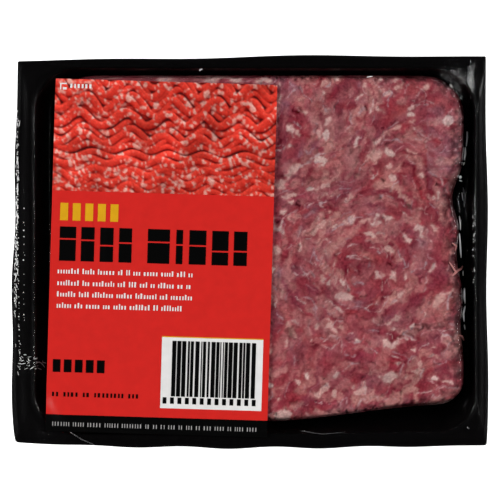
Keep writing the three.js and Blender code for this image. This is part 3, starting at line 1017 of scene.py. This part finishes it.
def tray_rings(outer):
    drop = SHEET if outer else 0.0
    depth = FLANGE_TOP - SHEET
    controls = []
    for share, droop in ((0, 1), (0.5, 0.5), (LIP_SHARE, 0)):
        controls.append(ring(EDGE, LIP_LINE, share, lambda x, y: flange_height(x, y, droop) - drop))
    for across, down in WALL:
        controls.append(spread(ring(LIP_LINE, FLOOR_LINE, across, FLANGE_TOP - depth * down - drop), drop))
    controls.append(ring(LIP_LINE, FLOOR_LINE, FLOOR_SHARE, SHEET - drop))
    return smoothed(controls, TRAY_STEPS)


def make_tray():
    tray = skin("tray_sheet", tray_rings(False), tray_rings(True), black_plastic())
    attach(tray, "root")
    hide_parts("tray")


# How deep the film is drawn into the groove round the meat: a depth, and a share of the groove's width.
GROOVE_DEPTH = 3.6
GROOVE_SHARE = 0.25
# The film turns down over the block's edge this far in, at this slope, round a bend this tight.
FILM_BEND_INSIDE = 1.35
FILM_BEND_SLOPE = 3.9
FILM_BEND_RADIUS = 0.15
# How much the place of the bend slips in and out.
FILM_BEND_SLIP = 0.07
# The film's rings, as shares of the way across the flange, the groove, the shoulder and the block's top.
FLANGE_SHARES = (0, 0.015, 0.06, 0.16, 0.28, 0.4, 0.52, 0.64, 0.75, 0.85, 0.92, LIP_SHARE)
GROOVE_SHARES = np.linspace(0.02, 0.98, 19)
SHOULDER_SHARES = (0.02, 0.08, 0.14, 0.18, 0.22, 0.25, 0.28, 0.31, 0.34, 0.38, 0.43, 0.5, 0.62, 0.8, 1)
TOP_SHARES = (0.12, 0.3, 0.5, 0.7, 0.9, 0.98)


class FilmShape:
    """The film's height over the plan: on the flange, down into the groove and over the meat's shoulder."""

    def __init__(self, seed):
        rng = np.random.default_rng(seed)
        self.count = len(LIP_LINE)
        self.gap_width = np.linalg.norm(LIP_LINE - MEAT_LINE, axis=1)
        self.folds = ring_noise(rng, self.count, 150)
        self.waves = ring_noise(rng, self.count, 46)
        self.slips = ring_noise(rng, self.count, 70)
        self.near_corner = ring_peaks(LIP_LINE)

    def rings(self, lift):
        """All its rings from the cut edge inwards, raised by lift."""
        over_flange = GAP + lift
        over_meat = MEAT_TOP + GAP + lift
        return [
            *self.on_flange(over_flange),
            *self.in_groove(over_flange, over_meat),
            *self.on_meat(over_meat),
        ]

    def on_flange(self, over_flange):
        for share in FLANGE_SHARES:
            plan = mix(EDGE, LIP_LINE, share)
            z = flange_height(plan[:, 0], plan[:, 1], clamp01(1 - share / LIP_SHARE)) + over_flange
            z = z + 0.06 * self.folds * (0.3 + self.near_corner) * smooth(share)
            yield np.column_stack([plan, z])

    def in_groove(self, over_flange, over_meat):
        lip_z = flange_height(LIP_LINE[:, 0], LIP_LINE[:, 1], 0) + over_flange
        bottom_z = lip_z - GROOVE_DEPTH - GROOVE_SHARE * self.gap_width
        meat_drop = FILM_BEND_SLOPE * (FILM_BEND_INSIDE + FILM_BEND_SLIP * self.slips)
        meat_z = over_meat - meat_drop + crown(MEAT_LINE[:, 0], MEAT_LINE[:, 1])
        for share in GROOVE_SHARES:
            fall = smooth(share / (0.45 + 0.02 * self.slips))
            rise = smooth((share - 0.7) / 0.3)
            z = mix(mix(lip_z, bottom_z, fall), meat_z, rise)
            between = math.sin(math.pi * share)
            z = z + between * (0.12 * self.waves + 0.14 * self.folds * (0.2 + self.near_corner))
            yield np.column_stack([mix(LIP_LINE, MEAT_LINE, share), z])

    def on_meat(self, over_meat):
        radius = FILM_BEND_RADIUS * (1 + 0.5 * np.tanh(self.slips + 0.6 * self.folds))
        bend_at = FILM_BEND_INSIDE + FILM_BEND_SLIP * self.slips
        for share in SHOULDER_SHARES:
            plan = mix(MEAT_LINE, SHOULDER_LINE, share)
            drop = FILM_BEND_SLOPE * radius * np.log1p(np.exp((bend_at - share * SHOULDER_WIDTH) / radius))
            yield np.column_stack([plan, over_meat - drop + crown(plan[:, 0], plan[:, 1])])
        middle = np.broadcast_to(BLOCK_MIDDLE, SHOULDER_LINE.shape)
        for share in TOP_SHARES:
            plan = mix(SHOULDER_LINE, middle, share)
            yield np.column_stack([plan, over_meat + crown(plan[:, 0], plan[:, 1])])


def ring_noise(rng, count, cells):
    """Smooth random values round a ring of count points, with so many features."""
    coarse = rng.standard_normal(cells)
    place = np.arange(count) / count * cells
    i = place.astype(int)
    return mix(coarse[i], coarse[(i + 1) % cells], smooth(place - i))


def ring_peaks(outline):
    """1 round the corners of an outline and 0 along its sides."""
    x, y = np.abs(outline - outline.mean(axis=0)).T
    return smooth((x / x.max() + y / y.max() - 1.55) / 0.2)


# Where the film is crumpled: x, y, how far it reaches and how strongly.
CRUMPLES = (
    (-85.5, -43.5, 7, 0.25),
    (80, 68, 7, 0.9),
    (-79, -70, 8, 0.35),
    (83.5, 17, 6, 0.4),
)


def crumple_at(x, y):
    found = np.full(np.shape(x), 0.02)
    for cx, cy, reach, strength in CRUMPLES:
        found = np.maximum(found, strength * np.exp(-(((x - cx) ** 2 + (y - cy) ** 2) / reach**2)))
    return found


# Broad folds in the film's flange: start and end in the photo's pixels, then width and lift in millimetres.
FOLDS = (
    ((471, 54), (463, 98), 2.1, 0.72),
    ((440, 60), (455, 88), 0.9, 0.34),
    ((449, 58), (463, 92), 0.8, 0.36),
    ((456, 62), (469, 88), 0.7, 0.3),
    ((467, 208), (471, 288), 1.3, 0.4),
    ((24, 352), (43, 366), 0.9, 0.15),
    ((22, 362), (40, 372), 0.8, 0.15),
    ((66, 430), (97, 446), 0.6, 0.2),
)


def ridge_height(x, y, start, end, width, lift):
    """A ridge along a line of the plan, fading out at both ends."""
    along_x, along_y = end[0] - start[0], end[1] - start[1]
    length = math.hypot(along_x, along_y)
    along = ((x - start[0]) * along_x + (y - start[1]) * along_y) / length
    across = ((x - start[0]) * along_y - (y - start[1]) * along_x) / length
    ends = smooth((along + 2) / 4) * smooth((length + 2 - along) / 4)
    return lift * np.exp(-((across / width) ** 2)) * ends


def folded(rings):
    """The film's rings with its folds raised in them."""
    points = np.concatenate(rings)
    x, y = points[:, :2].T
    for start, end, width, lift in FOLDS:
        points[:, 2] += ridge_height(x, y, plan_place(start), plan_place(end), width, lift)
    return list(points.reshape(len(rings), -1, 3))


def make_film():
    shape = FilmShape(seed=3)
    top = folded(shape.rings(FILM))
    under = folded(shape.rings(0))
    material = clear_film("clear_skin_film", FILM_GLOSS, FILM_ROUGHNESS, crumple=True)
    film = skin("clear_film", top, under, material)
    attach(film, "root")
    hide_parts("skin_film")
    places = np.concatenate([*reversed(under), *top])
    amount = crumple_at(places[:, 0], places[:, 1])
    colour_attribute(film, "crumple", np.repeat(amount[:, None], 3, axis=1))
    upper_face = ring_faces(len(top), len(top[0])).tolist()
    return BVHTree.FromPolygons([Vector(p) for p in np.concatenate(top)], upper_face)


# Narrow creases that catch the light, by the photo's pixels and their width in millimetres. These are faint.
GLINTS = (
    ([(464, 187), (466, 197), (465, 207)], 0.8),
    ([(70, 432), (83, 440), (95, 445)], 0.4),
    ([(300, 431), (322, 434), (345, 432)], 0.25),
    ([(467, 427), (469, 429)], 0.5),
)
# Thin gloss lines down the label, and how far its face lies above the film.
LABEL_GLINTS = (
    ([(104, 226), (105, 250), (105, 268)], 0.3),
    ([(92, 190), (93, 215), (94, 232)], 0.2),
    ([(101, 330), (103, 352), (103, 372)], 0.16),
)
ON_LABEL = 0.6
# These are white: pale pieces that stand for painted highlights.
WHITE_GLINTS = (
    ([(468, 131), (468, 138), (467, 146)], 0.75),
    ([(466, 147), (466, 153), (465, 160)], 0.7),
    ([(465, 162), (464, 165)], 0.45),
    ([(460, 176), (462, 178)], 1.3),
    ([(460, 180), (463, 181)], 0.5),
    ([(463, 192), (464, 200)], 0.4),
    ([(460, 216), (461, 224), (461, 230)], 0.5),
    ([(460, 233), (461, 246), (462, 258)], 0.65),
    ([(464, 271), (464, 276)], 0.3),
    ([(465, 288), (465, 298), (466, 304)], 0.85),
    ([(466, 306), (464, 314), (465, 322)], 0.75),
    ([(465, 325), (466, 330)], 0.5),
    ([(199, 70), (202, 69)], 0.7),
    ([(367, 77), (373, 76)], 0.4),
    ([(451, 84), (453, 87)], 0.6),
    ([(36, 362), (40, 363), (44, 368)], 0.35),
)
# Patches of short random creases, white and faint; the white ones are pale pieces that stand for painted
# highlights. Their middle and spread in the photo's pixels, how many they are, the angle they run at and how
# much that varies.
CREASED_PATCHES = (
    ((30, 362), (17, 8), 24, 10, 50),
    ((19, 350), (3, 22), 9, 90, 30),
    ((17.5, 174), (1.2, 24), 22, 90, 8),
    ((16.8, 216), (1.4, 44), 36, 90, 8),
    ((15.8, 262), (1.6, 44), 50, 90, 8),
    ((15.2, 298), (1.8, 24), 24, 90, 10),
    ((17, 180), (2, 70), 34, 90, 10),
    ((17, 120), (2, 16), 16, 90, 10),
    ((474, 240), (1.5, 40), 8, 90, 6),
)
FAINT_PATCHES = (
    ((452, 76), (11, 13), 22, -55, 14),
    ((470, 76), (3, 20), 16, -84, 8),
)
# Rows of small seal dots, pale pieces that stand for painted highlights: from and to, in the photo's pixels,
# and the share of them that is laid.
DOT_ROWS = (
    ((17, 110), (18, 250), 0.7),
    ((18, 255), (20, 373), 0.7),
    ((24, 170), (24, 330), 0.35),
    ((473, 195), (474, 290), 0.4),
)
DOT_PITCH = 1.05
# Shreds of mince that reach out past the block's right side, and their widths.
SHREDS = (
    ([(452, 276), (457, 271), (462, 269), (464, 266)], 1.1),
    ([(449, 262), (453, 268), (456, 273)], 0.7),
    ([(459, 335), (463, 337), (465, 341)], 0.8),
    ([(452, 243), (456, 246), (455, 251)], 0.8),
)
SHRED_PINK = np.array([176, 118, 114]) / 255
# How far under the film's face the shreds lie.
SHRED_DEPTH = 0.35


class Ridges:
    """Closed narrow ridges laid on a surface, gathered into one mesh."""

    SIDES = 7

    def __init__(self, tree):
        self.tree = tree
        self.points = []
        self.faces = []
        self.start = 0

    def add(self, path, width, lift=0.0, step=0.45, flatness=0.45):
        """One ridge along plan points, tapered at both ends."""
        path = np.array(path, float)
        lengths = np.linalg.norm(np.diff(path, axis=0), axis=1)
        places = np.concatenate([[0], np.cumsum(lengths)])
        count = max(4, int(places[-1] / step) + 2)
        at = np.linspace(0, places[-1], count)
        x, y = np.interp(at, places, path[:, 0]), np.interp(at, places, path[:, 1])
        z = np.array([height_below(self.tree, px, py, FLANGE_TOP) for px, py in zip(x, y)]) + lift
        side = np.stack([-np.gradient(y), np.gradient(x)], axis=1)
        side /= np.linalg.norm(side, axis=1, keepdims=True)
        taper = 0.12 + 0.88 * np.sqrt(np.sin(math.pi * (np.arange(count) + 0.5) / count))
        angle = np.linspace(0, 2 * math.pi, self.SIDES, endpoint=False)
        across = np.cos(angle)[None, :] * (taper * width / 2)[:, None]
        up = np.sin(angle)[None, :] * (taper * width * flatness / 2)[:, None]
        rings = [x[:, None] + side[:, :1] * across, y[:, None] + side[:, 1:] * across, z[:, None] + up]
        k = np.arange(self.SIDES)
        last = self.start + (count - 1) * self.SIDES
        for ring_start in range(self.start, last, self.SIDES):
            self.faces += band(ring_start + k, ring_start + self.SIDES + k).tolist()
        self.faces += [(self.start + k).tolist(), (last + k[::-1]).tolist()]
        self.points.append(np.stack(rings, axis=2).reshape(-1, 3))
        self.start = last + self.SIDES

    def add_paths(self, paths, lift=0.0):
        for path, width in paths:
            self.add([plan_place(pixel) for pixel in path], width, lift)

    def add_short(self, start, end, width, step):
        """A short ridge, left out where an end of it would hang past the surface."""
        if None not in (height_below(self.tree, *start), height_below(self.tree, *end)):
            self.add([start, end], width, step=step)

    def add_patches(self, rng, patches):
        for middle, spread, count, angle, turn in patches:
            for _ in range(count):
                place = plan_place(middle + rng.normal(0, 0.5, 2) * spread)
                heading = math.radians(angle + turn * rng.normal())
                reach = (0.2 + 0.6 * rng.random()) * np.array([math.cos(heading), math.sin(heading)])
                self.add_short(place - reach, place + reach, 0.12 + 0.25 * rng.random() ** 2, 0.25)

    def add_dots(self, rng, rows):
        for start, end, seen in rows:
            start, end = plan_place(start), plan_place(end)
            count = int(np.linalg.norm(end - start) / DOT_PITCH)
            for k in range(count):
                if rng.random() > seen:
                    continue
                place = mix(start, end, (k + 0.5) / count) + rng.normal(0, 0.12, 2)
                size = 0.15 + 0.35 * rng.random() ** 2
                self.add_short(place, place + (0, size), size, 0.2)

    def build(self, name, material, slot):
        made = mesh_object(name, np.concatenate(self.points), self.faces, material)
        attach(made, "root")


def make_creases(tree):
    rng = np.random.default_rng(12)
    creases, glints, dots = (Ridges(tree) for _ in range(3))
    creases.add_paths(GLINTS)
    creases.add_paths(LABEL_GLINTS, ON_LABEL)
    creases.add_patches(rng, FAINT_PATCHES)
    glints.add_paths(WHITE_GLINTS)
    glints.add_patches(rng, CREASED_PATCHES)
    dots.add_dots(rng, DOT_ROWS)
    creases.build("film_creases", clear_film("film_crease", CREASE_GLOSS, CREASE_ROUGHNESS), "clear_film")
    # Painted highlights: the glints and the seal's dots are pale pieces that stand for bright reflections.
    white = painted_glint_film()
    glints.build("film_glints", white, "clear_film")
    dots.build("film_seal_dots", white, "clear_film")


def make_shreds(tree):
    shader = Shader("mince_shred", under_film(SHRED_PINK), IOR=MEAT_INDEX)
    shader.bump(1500, 3, 0.3, 0.0003)
    shreds = Ridges(tree)
    for path, width in SHREDS:
        shreds.add([plan_place(pixel) for pixel in path], width, -SHRED_DEPTH - width / 2, flatness=0.8)
    shreds.build("mince_shreds", shader.material, "raw_mince")


# The label and its print, placed by millimetres from the label's upper left corner: u to the right, v down.
LABEL_STEP = 1.0
# The label's stock is too stiff to follow dips narrower than this reach to each side.
STIFFNESS_REACH = 5
LABEL_CLEARANCE = 0.1
INK = 0.03
# How far ink lies over the stock, and ink over other ink.
ON_STOCK = 0.03
ON_INK = 0.09


class LabelSurface:
    """The label's upper face: it lies on the film and bridges its dips."""

    def __init__(self, tree):
        self.columns = int(round(LABEL_WIDTH / LABEL_STEP)) + 1
        self.rows = int(round(LABEL_HEIGHT / LABEL_STEP)) + 1
        u, v = np.meshgrid(np.linspace(0, LABEL_WIDTH, self.columns), np.linspace(0, LABEL_HEIGHT, self.rows))
        x, y = self.plan(u, v)
        ways = [(0, 0)] + [(math.cos(k * math.pi / 4), math.sin(k * math.pi / 4)) for k in range(8)]
        height = np.full(x.shape, 0.0)
        for place in np.ndindex(x.shape):
            round_it = ((x[place] + STIFFNESS_REACH * cx, y[place] + STIFFNESS_REACH * cy) for cx, cy in ways)
            height[place] = max(height_below(tree, nx, ny, 0) for nx, ny in round_it)
        for _ in range(3):
            padded = np.pad(height, 1, mode="edge")
            beside = padded[:-2, 1:-1] + padded[2:, 1:-1] + padded[1:-1, :-2] + padded[1:-1, 2:]
            height = (beside + height) / 5
        self.height = height + GAP + LABEL + LABEL_CLEARANCE
        for start, end, width, lift in CREASES:
            self.height += ridge_height(u, v, start, end, width, lift)

    def plan(self, u, v):
        x = u - LABEL_WIDTH / 2
        y = LABEL_HEIGHT / 2 - v
        cos, sin = math.cos(LABEL_TURN), math.sin(LABEL_TURN)
        return LABEL_CENTRE[0] + x * cos - y * sin, LABEL_CENTRE[1] + x * sin + y * cos

    def point(self, u, v, lift):
        gu = np.clip(np.asarray(u, float) / LABEL_WIDTH * (self.columns - 1), 0, self.columns - 1.0001)
        gv = np.clip(np.asarray(v, float) / LABEL_HEIGHT * (self.rows - 1), 0, self.rows - 1.0001)
        iu, iv = gu.astype(int), gv.astype(int)
        fu, fv = gu - iu, gv - iv
        h = self.height
        low = h[iv, iu] * (1 - fu) + h[iv, iu + 1] * fu
        high = h[iv + 1, iu] * (1 - fu) + h[iv + 1, iu + 1] * fu
        x, y = self.plan(u, v)
        return np.stack([x, y, low * (1 - fv) + high * fv + lift], axis=-1)

    def patch(self, u0, u1, v0, v1, top, thick, step=LABEL_STEP):
        """A thin closed sheet on the label, u0 to u1 by v0 to v1: its points and faces."""
        def lines(start, end):
            inner = np.arange(math.ceil(start / step + 1e-6), math.ceil(end / step - 1e-6)) * step
            return np.concatenate([[start], inner, [end]])

        u, v = np.meshgrid(lines(u0, u1), lines(v0, v1))
        points = [self.point(u, v, height).reshape(-1, 3) for height in (top, top - thick)]
        quads, rim = grid(*u.shape)
        faces = flipped(quads)
        under = faces[:, ::-1] + u.size
        return np.concatenate(points), np.concatenate([faces, under, flipped(band(rim, rim + u.size))])

    def ink(self, name, rectangles, material, slot, lift=ON_STOCK):
        """Rectangles of one colour of print, as one piece."""
        points, faces, start = [], [], 0
        for rectangle in rectangles:
            some, cells = self.patch(*rectangle, lift + INK, INK)
            points.append(some)
            faces.append(cells + start)
            start += len(some)
        made = mesh_object(name, np.concatenate(points), np.concatenate(faces), material, crisp=True)
        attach(made, "root")


# Creases in the label: start, end, width and height.
CREASES = (
    ((21.3, 20), (22.0, 80), 0.9, 0.16),
    ((13.5, 30), (14.2, 96), 1.1, 0.08),
    ((35.3, 40), (36.0, 90), 1.0, 0.07),
    ((-2, 107), (21, 131), 0.8, 0.16),
)


WORD_LETTERS = (2, 9)


def words(rng, start, end, top, bottom, letter, tall=0.0, fill=0.5):
    """A line of made-up text: a small plain block for each letter, with wider gaps between words."""
    blocks = []
    u = start
    left_in_word = rng.integers(*WORD_LETTERS)
    while u < end - letter:
        width = letter * (0.75 + 0.35 * rng.random())
        rise = tall if rng.random() < 0.3 else 0.0
        blocks.append((u, u + width * fill, top - rise, bottom))
        u += width
        left_in_word -= 1
        if left_in_word == 0:
            u += 0.75 * letter
            left_in_word = rng.integers(*WORD_LETTERS)
    return blocks


def bars(rng, left, right, top, bottom):
    """A made-up row of bars of one to four modules."""
    found = []
    u = left
    while u < right - 3 * BAR_MODULE:
        width = BAR_MODULE * rng.integers(1, 5)
        found.append((u, u + width, top, bottom))
        u += width + BAR_GAP * rng.integers(1, 3)
    return found


def row_of_blocks(count, start, pitch, width, top, bottom):
    return [(start + pitch * k, start + pitch * k + width, top, bottom) for k in range(count)]


class Picture:
    """A made-up picture of raw strands lying over each other, on a raster of the label's upper part."""

    WALK = 0.22

    def __init__(self, rng):
        self.rng = rng
        self.field = Field(0, LABEL_WIDTH, 0, PICTURE_BOTTOM, PICTURE_STEP)
        self.lift = np.zeros(self.field.shape)
        self.beads = np.zeros(self.field.shape)
        grain = self.field.cloud(rng, 0.8)
        for layer, spacing in enumerate(STRAND_ROWS):
            for row in np.arange(-14, PICTURE_BOTTOM + 14, spacing):
                self.lay_strand(layer, row)
        self.tint = on_label(self.coloured(grain))

    def lay_strand(self, layer, row):
        """One wavy strand from left to right, over what lies lower than it."""
        f, rng = self.field, self.rng
        y = row + rng.normal(0, 0.2)
        sweep = 0.72 + 0.22 * math.sin(row / 8 + 1) + 0.1 * rng.normal()
        phase = 1.3 * math.sin(row / 13) + 0.16 * rng.normal() + 0.9 * layer
        radius = 1.5 + 0.25 * rng.random()
        base = 0.7 * rng.random() + 0.5 * layer
        beat = rng.random() * 6.28
        for x in np.arange(-3, LABEL_WIDTH + 3, self.WALK):
            heading = sweep * math.sin(x / 2.5 + phase + 0.9 * math.sin(x / 13 + row / 9))
            y += self.WALK * math.tan(heading)
            window = f.window(x, y, radius + 0.2)
            near = np.hypot(f.X[window] - x, f.Y[window] - y) / radius
            bump = base + 0.3 * math.sin(x / 3.7 + beat) + radius * np.sqrt(np.clip(1 - near**2, 0, 1))
            over = (near < 1) & (bump > self.lift[window])
            bead = math.sin(x * 1.7 + 4 * math.sin(x * 0.7 + beat))
            self.lift[window] = np.where(over, bump, self.lift[window])
            self.beads[window] = np.where(over, bead, self.beads[window])

    def coloured(self, grain):
        """Red strands with flecks of fat and dark hollows between them, as photo colours."""
        f, rng = self.field, self.rng
        north, east = np.gradient(self.lift, f.step)
        light = clamp01(0.72 + 0.36 * north - 0.14 * east)[..., None]
        depth = clamp01((f.blurred(self.lift, 1.3) - self.lift - 0.05) / 0.65)[..., None]
        fleck = smooth((0.8 * self.beads + 0.8 * f.cloud(rng, 1.3) + 0.3 * grain - 0.1) / 1.5)[..., None]
        colour = mix(mix(*PICTURE_REDS, light), mix(*PICTURE_FATS, light), 0.85 * fleck)
        colour = mix(colour, PICTURE_HOLLOW, depth)
        return colour * (1 + 0.05 * f.cloud(rng, 0.5) + 0.06 * f.cloud(rng, 9))[..., None]


# The label's photo colours.
LABEL_RED = (206, 44, 40)
INK_BLACK = (8, 7, 7)
INK_WHITE = (228, 226, 224)
INK_GREY = (172, 170, 169)
INK_YELLOW = (216, 160, 34)
PICTURE_REDS = np.array([[128, 15, 13], [232, 72, 58]])
PICTURE_FATS = np.array([[190, 92, 78], [226, 192, 180]])
PICTURE_HOLLOW = np.array([72, 8, 10])
# The picture: its lower edge, its raster's step, how finely its sheet is cut, and how far apart the strands
# of each layer lie.
PICTURE_BOTTOM = 43.6
PICTURE_STEP = 0.3
PICTURE_CUT = 0.35
STRAND_ROWS = (2.6, 7.4)
# The print's rectangles and lines: u from and to, then v from and to.
FOOT = (0, LABEL_WIDTH, 131.0, LABEL_HEIGHT)
PANEL = (44.5, 84.0, 99.6, 127.3)
PANEL_LINE = (44.5, 84.0, 99.2, 99.55)
BARS = (48.6, 82.4, 100.9, 122.6)
BAR_MODULE = 0.4
BAR_GAP = 0.32
# The heading's blocks, one for each letter: where each starts and ends. Below, where they lie down the label,
# and the span in which a thin line splits them.
HEADING_LETTERS = (
    (3.4, 9.8),
    (11.8, 17.0),
    (19.2, 24.4),
    (26.6, 31.6),
    (37.8, 46.4),
    (48.9, 51.5),
    (54.0, 60.6),
    (62.9, 69.3),
    (71.4, 76.6),
)
HEADING_TOP = 57.6
HEADING_BOTTOM = 71.0
HEADING_SPLIT = (58.2, 70.2)
# Rows of equal blocks: how many, where they start, their pitch and width, and where they lie down the label.
WEIGHT_BLOCKS = (5, 2.2, 4.3, 3.0, 109.4, 114.4)
WORD_BLOCKS = (5, 3.3, 4.9, 3.1, 48.4, 55.2)
DIGIT_BLOCKS = (13, 45.4, 2.9, 1.5, 123.0, 125.5)
# Lines of small letters: where they start and end, where they lie down the label, and how wide a letter is.
DATE_LINE = (2.2, 38.2, 122.2, 123.9, 1.7)
FOOT_LINE = (2.6, 83.6, 133.9, 135.5, 1.15)
PEEL_LINE = (5.8, 16.4, 1.9, 3.5, 1.5)
PEEL_MARK = [(1.8, 2.3, 1.6, 4.2), (2.3, 4.4, 1.6, 2.1), (2.9, 4.4, 3.3, 4.2)]
# The paragraph's lines: how far down the label each lies and where it ends.
PARAGRAPH = ((74.5, 56.7), (79.1, 55.7), (83.5, 57.8), (87.9, 53.2))


def heading_blocks(rng):
    """A plain block for each letter of the heading, split in two by a thin line."""
    blocks = []
    for start, end in HEADING_LETTERS:
        split = mix(*HEADING_SPLIT, 0.35 + 0.3 * rng.random())
        blocks += [(start, end, HEADING_TOP, split - 0.3), (start, end, split + 0.3, HEADING_BOTTOM)]
    return blocks


def make_label_sheet(surface):
    red = print_finish("label_red", on_label(LABEL_RED))
    points, faces = surface.patch(0, LABEL_WIDTH, 0, LABEL_HEIGHT, 0, LABEL)
    sheet = mesh_object("label_sheet", points, faces, red, crisp=True)
    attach(sheet, "root")
    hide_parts("label")


def make_picture(surface, painted):
    points, faces = surface.patch(0, LABEL_WIDTH, 0, PICTURE_BOTTOM, ON_STOCK + INK, INK, step=PICTURE_CUT)
    picture = mesh_object("label_picture", points, faces, picture_finish(), crisp=True)
    colour_attribute(picture, "picture_tint", painted.field.sample(painted.tint, *label_places(points)))
    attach(picture, "root")


def label_places(points):
    """The label's own u and v of points of the plan."""
    x, y = (points[:, :2] - LABEL_CENTRE).T
    cos, sin = math.cos(LABEL_TURN), math.sin(LABEL_TURN)
    return x * cos + y * sin + LABEL_WIDTH / 2, LABEL_HEIGHT / 2 - (y * cos - x * sin)


def make_label(surface):
    rng = np.random.default_rng(51)
    make_label_sheet(surface)
    make_picture(surface, Picture(rng))
    black = print_finish("label_black", on_label(INK_BLACK), specular=0.15)
    white = print_finish("label_white", on_label(INK_WHITE))
    grey = print_finish("label_small_print", on_label(INK_GREY))
    yellow = print_finish("label_yellow", on_label(INK_YELLOW))

    surface.ink("label_heading", heading_blocks(rng), black, "label_black")
    surface.ink("label_weight", row_of_blocks(*WEIGHT_BLOCKS), black, "label_black")
    surface.ink("label_date", words(rng, *DATE_LINE), black, "label_black")
    surface.ink("label_foot", [FOOT], black, "label_black")
    surface.ink("label_word", row_of_blocks(*WORD_BLOCKS), yellow, "label_yellow")
    paragraph = []
    for top, end in PARAGRAPH:
        paragraph += words(rng, 3.0, end, top, top + 1.45, 1.2, tall=0.6)
    surface.ink("label_paragraph", paragraph, white, "label_white")
    surface.ink("label_foot_line", words(rng, *FOOT_LINE, fill=0.3), grey, "label_white", ON_INK)
    surface.ink("label_peel_line", PEEL_MARK + words(rng, *PEEL_LINE), white, "label_white", ON_INK)
    surface.ink("label_panel", [PANEL], white, "label_white")
    surface.ink("label_panel_line", [PANEL_LINE], yellow, "label_yellow")
    surface.ink("label_bars", bars(rng, *BARS), black, "label_black", ON_INK)
    surface.ink("label_digits", row_of_blocks(*DIGIT_BLOCKS), black, "label_black", ON_INK)


# The stage
PACK_BELOW_MIDDLE = (ORIGIN_PIXEL[1] - PHOTO_PIXELS / 2) / PIXELS_PER_MM * MM
CAMERA_HEIGHT = 1.1
LIGHT_POWER = 31
LIGHT_SIZE = (1.1, 1.0)
LIGHT_PLACE = (1.45, 0.1, 0.9)
FLOOR_BELOW = 0.0003
FLOOR_REACH = 4.0
SENSOR = 36
STUDIO_PALE = (0.86, 0.86, 0.86, 1)
STUDIO_DARK = (0.022, 0.023, 0.025, 1)
# The sines of the heights at which the studio starts to fade and is dark.
PALE_BELOW = 0.2
DARK_ABOVE = 0.5


def make_camera():
    data = bpy.data.cameras.new("camera")
    data.sensor_width = SENSOR
    data.lens = SENSOR * CAMERA_HEIGHT / (PHOTO_PIXELS / PIXELS_PER_MM * MM)
    data.clip_end = 20
    camera = bpy.data.objects.new("camera", data)
    camera.location = (0, PACK_BELOW_MIDDLE, CAMERA_HEIGHT + FLANGE_TOP * MM)
    bpy.context.scene.collection.objects.link(camera)
    bpy.context.scene.camera = camera


def make_light(name, place):
    data = bpy.data.lights.new(name, "AREA")
    data.shape = "RECTANGLE"
    data.size, data.size_y = LIGHT_SIZE
    data.energy = LIGHT_POWER
    light = bpy.data.objects.new(name, data)
    light.location = place
    light.rotation_euler = Vector(place).to_track_quat("Z", "Y").to_euler()
    bpy.context.scene.collection.objects.link(light)


def make_world():
    """A studio that is pale low down all round and dark overhead, so that the tray is black from above."""
    world = bpy.data.worlds.new("studio")
    world.use_nodes = True
    nodes, links = world.node_tree.nodes, world.node_tree.links
    place = nodes.new("ShaderNodeTexCoord")
    parts = nodes.new("ShaderNodeSeparateXYZ")
    fade = nodes.new("ShaderNodeValToRGB")
    low, high = fade.color_ramp.elements
    low.position, low.color = PALE_BELOW, STUDIO_PALE
    high.position, high.color = DARK_ABOVE, STUDIO_DARK
    links.new(place.outputs["Generated"], parts.inputs[0])
    links.new(parts.outputs["Z"], fade.inputs["Fac"])
    links.new(fade.outputs["Color"], nodes["Background"].inputs["Color"])
    return world


def make_stage():
    floor_shader = Shader("floor", (0.8, 0.8, 0.8), 0.9, Emission_Color=(1, 1, 1, 1), Emission_Strength=1.0)
    mesh = bpy.data.meshes.new("floor")
    sides = ((-1, -1), (1, -1), (1, 1), (-1, 1))
    corners = [(FLOOR_REACH * x, FLOOR_REACH * y, -FLOOR_BELOW) for x, y in sides]
    mesh.from_pydata(corners, [], [(0, 1, 2, 3)])
    mesh.materials.append(floor_shader.material)
    floor = bpy.data.objects.new("floor", mesh)
    bpy.context.scene.collection.objects.link(floor)
    across, along, up = LIGHT_PLACE
    make_light("left_light", (-across, along, up))
    make_light("right_light", LIGHT_PLACE)
    bpy.context.scene.world = make_world()
    bpy.context.scene.view_settings.view_transform = "Standard"


make_camera()
make_stage()
make_tray()
make_mince(Mince(seed=7))
film_tree = make_film()
make_creases(film_tree)
make_shreds(film_tree)
make_label(LabelSurface(film_tree))
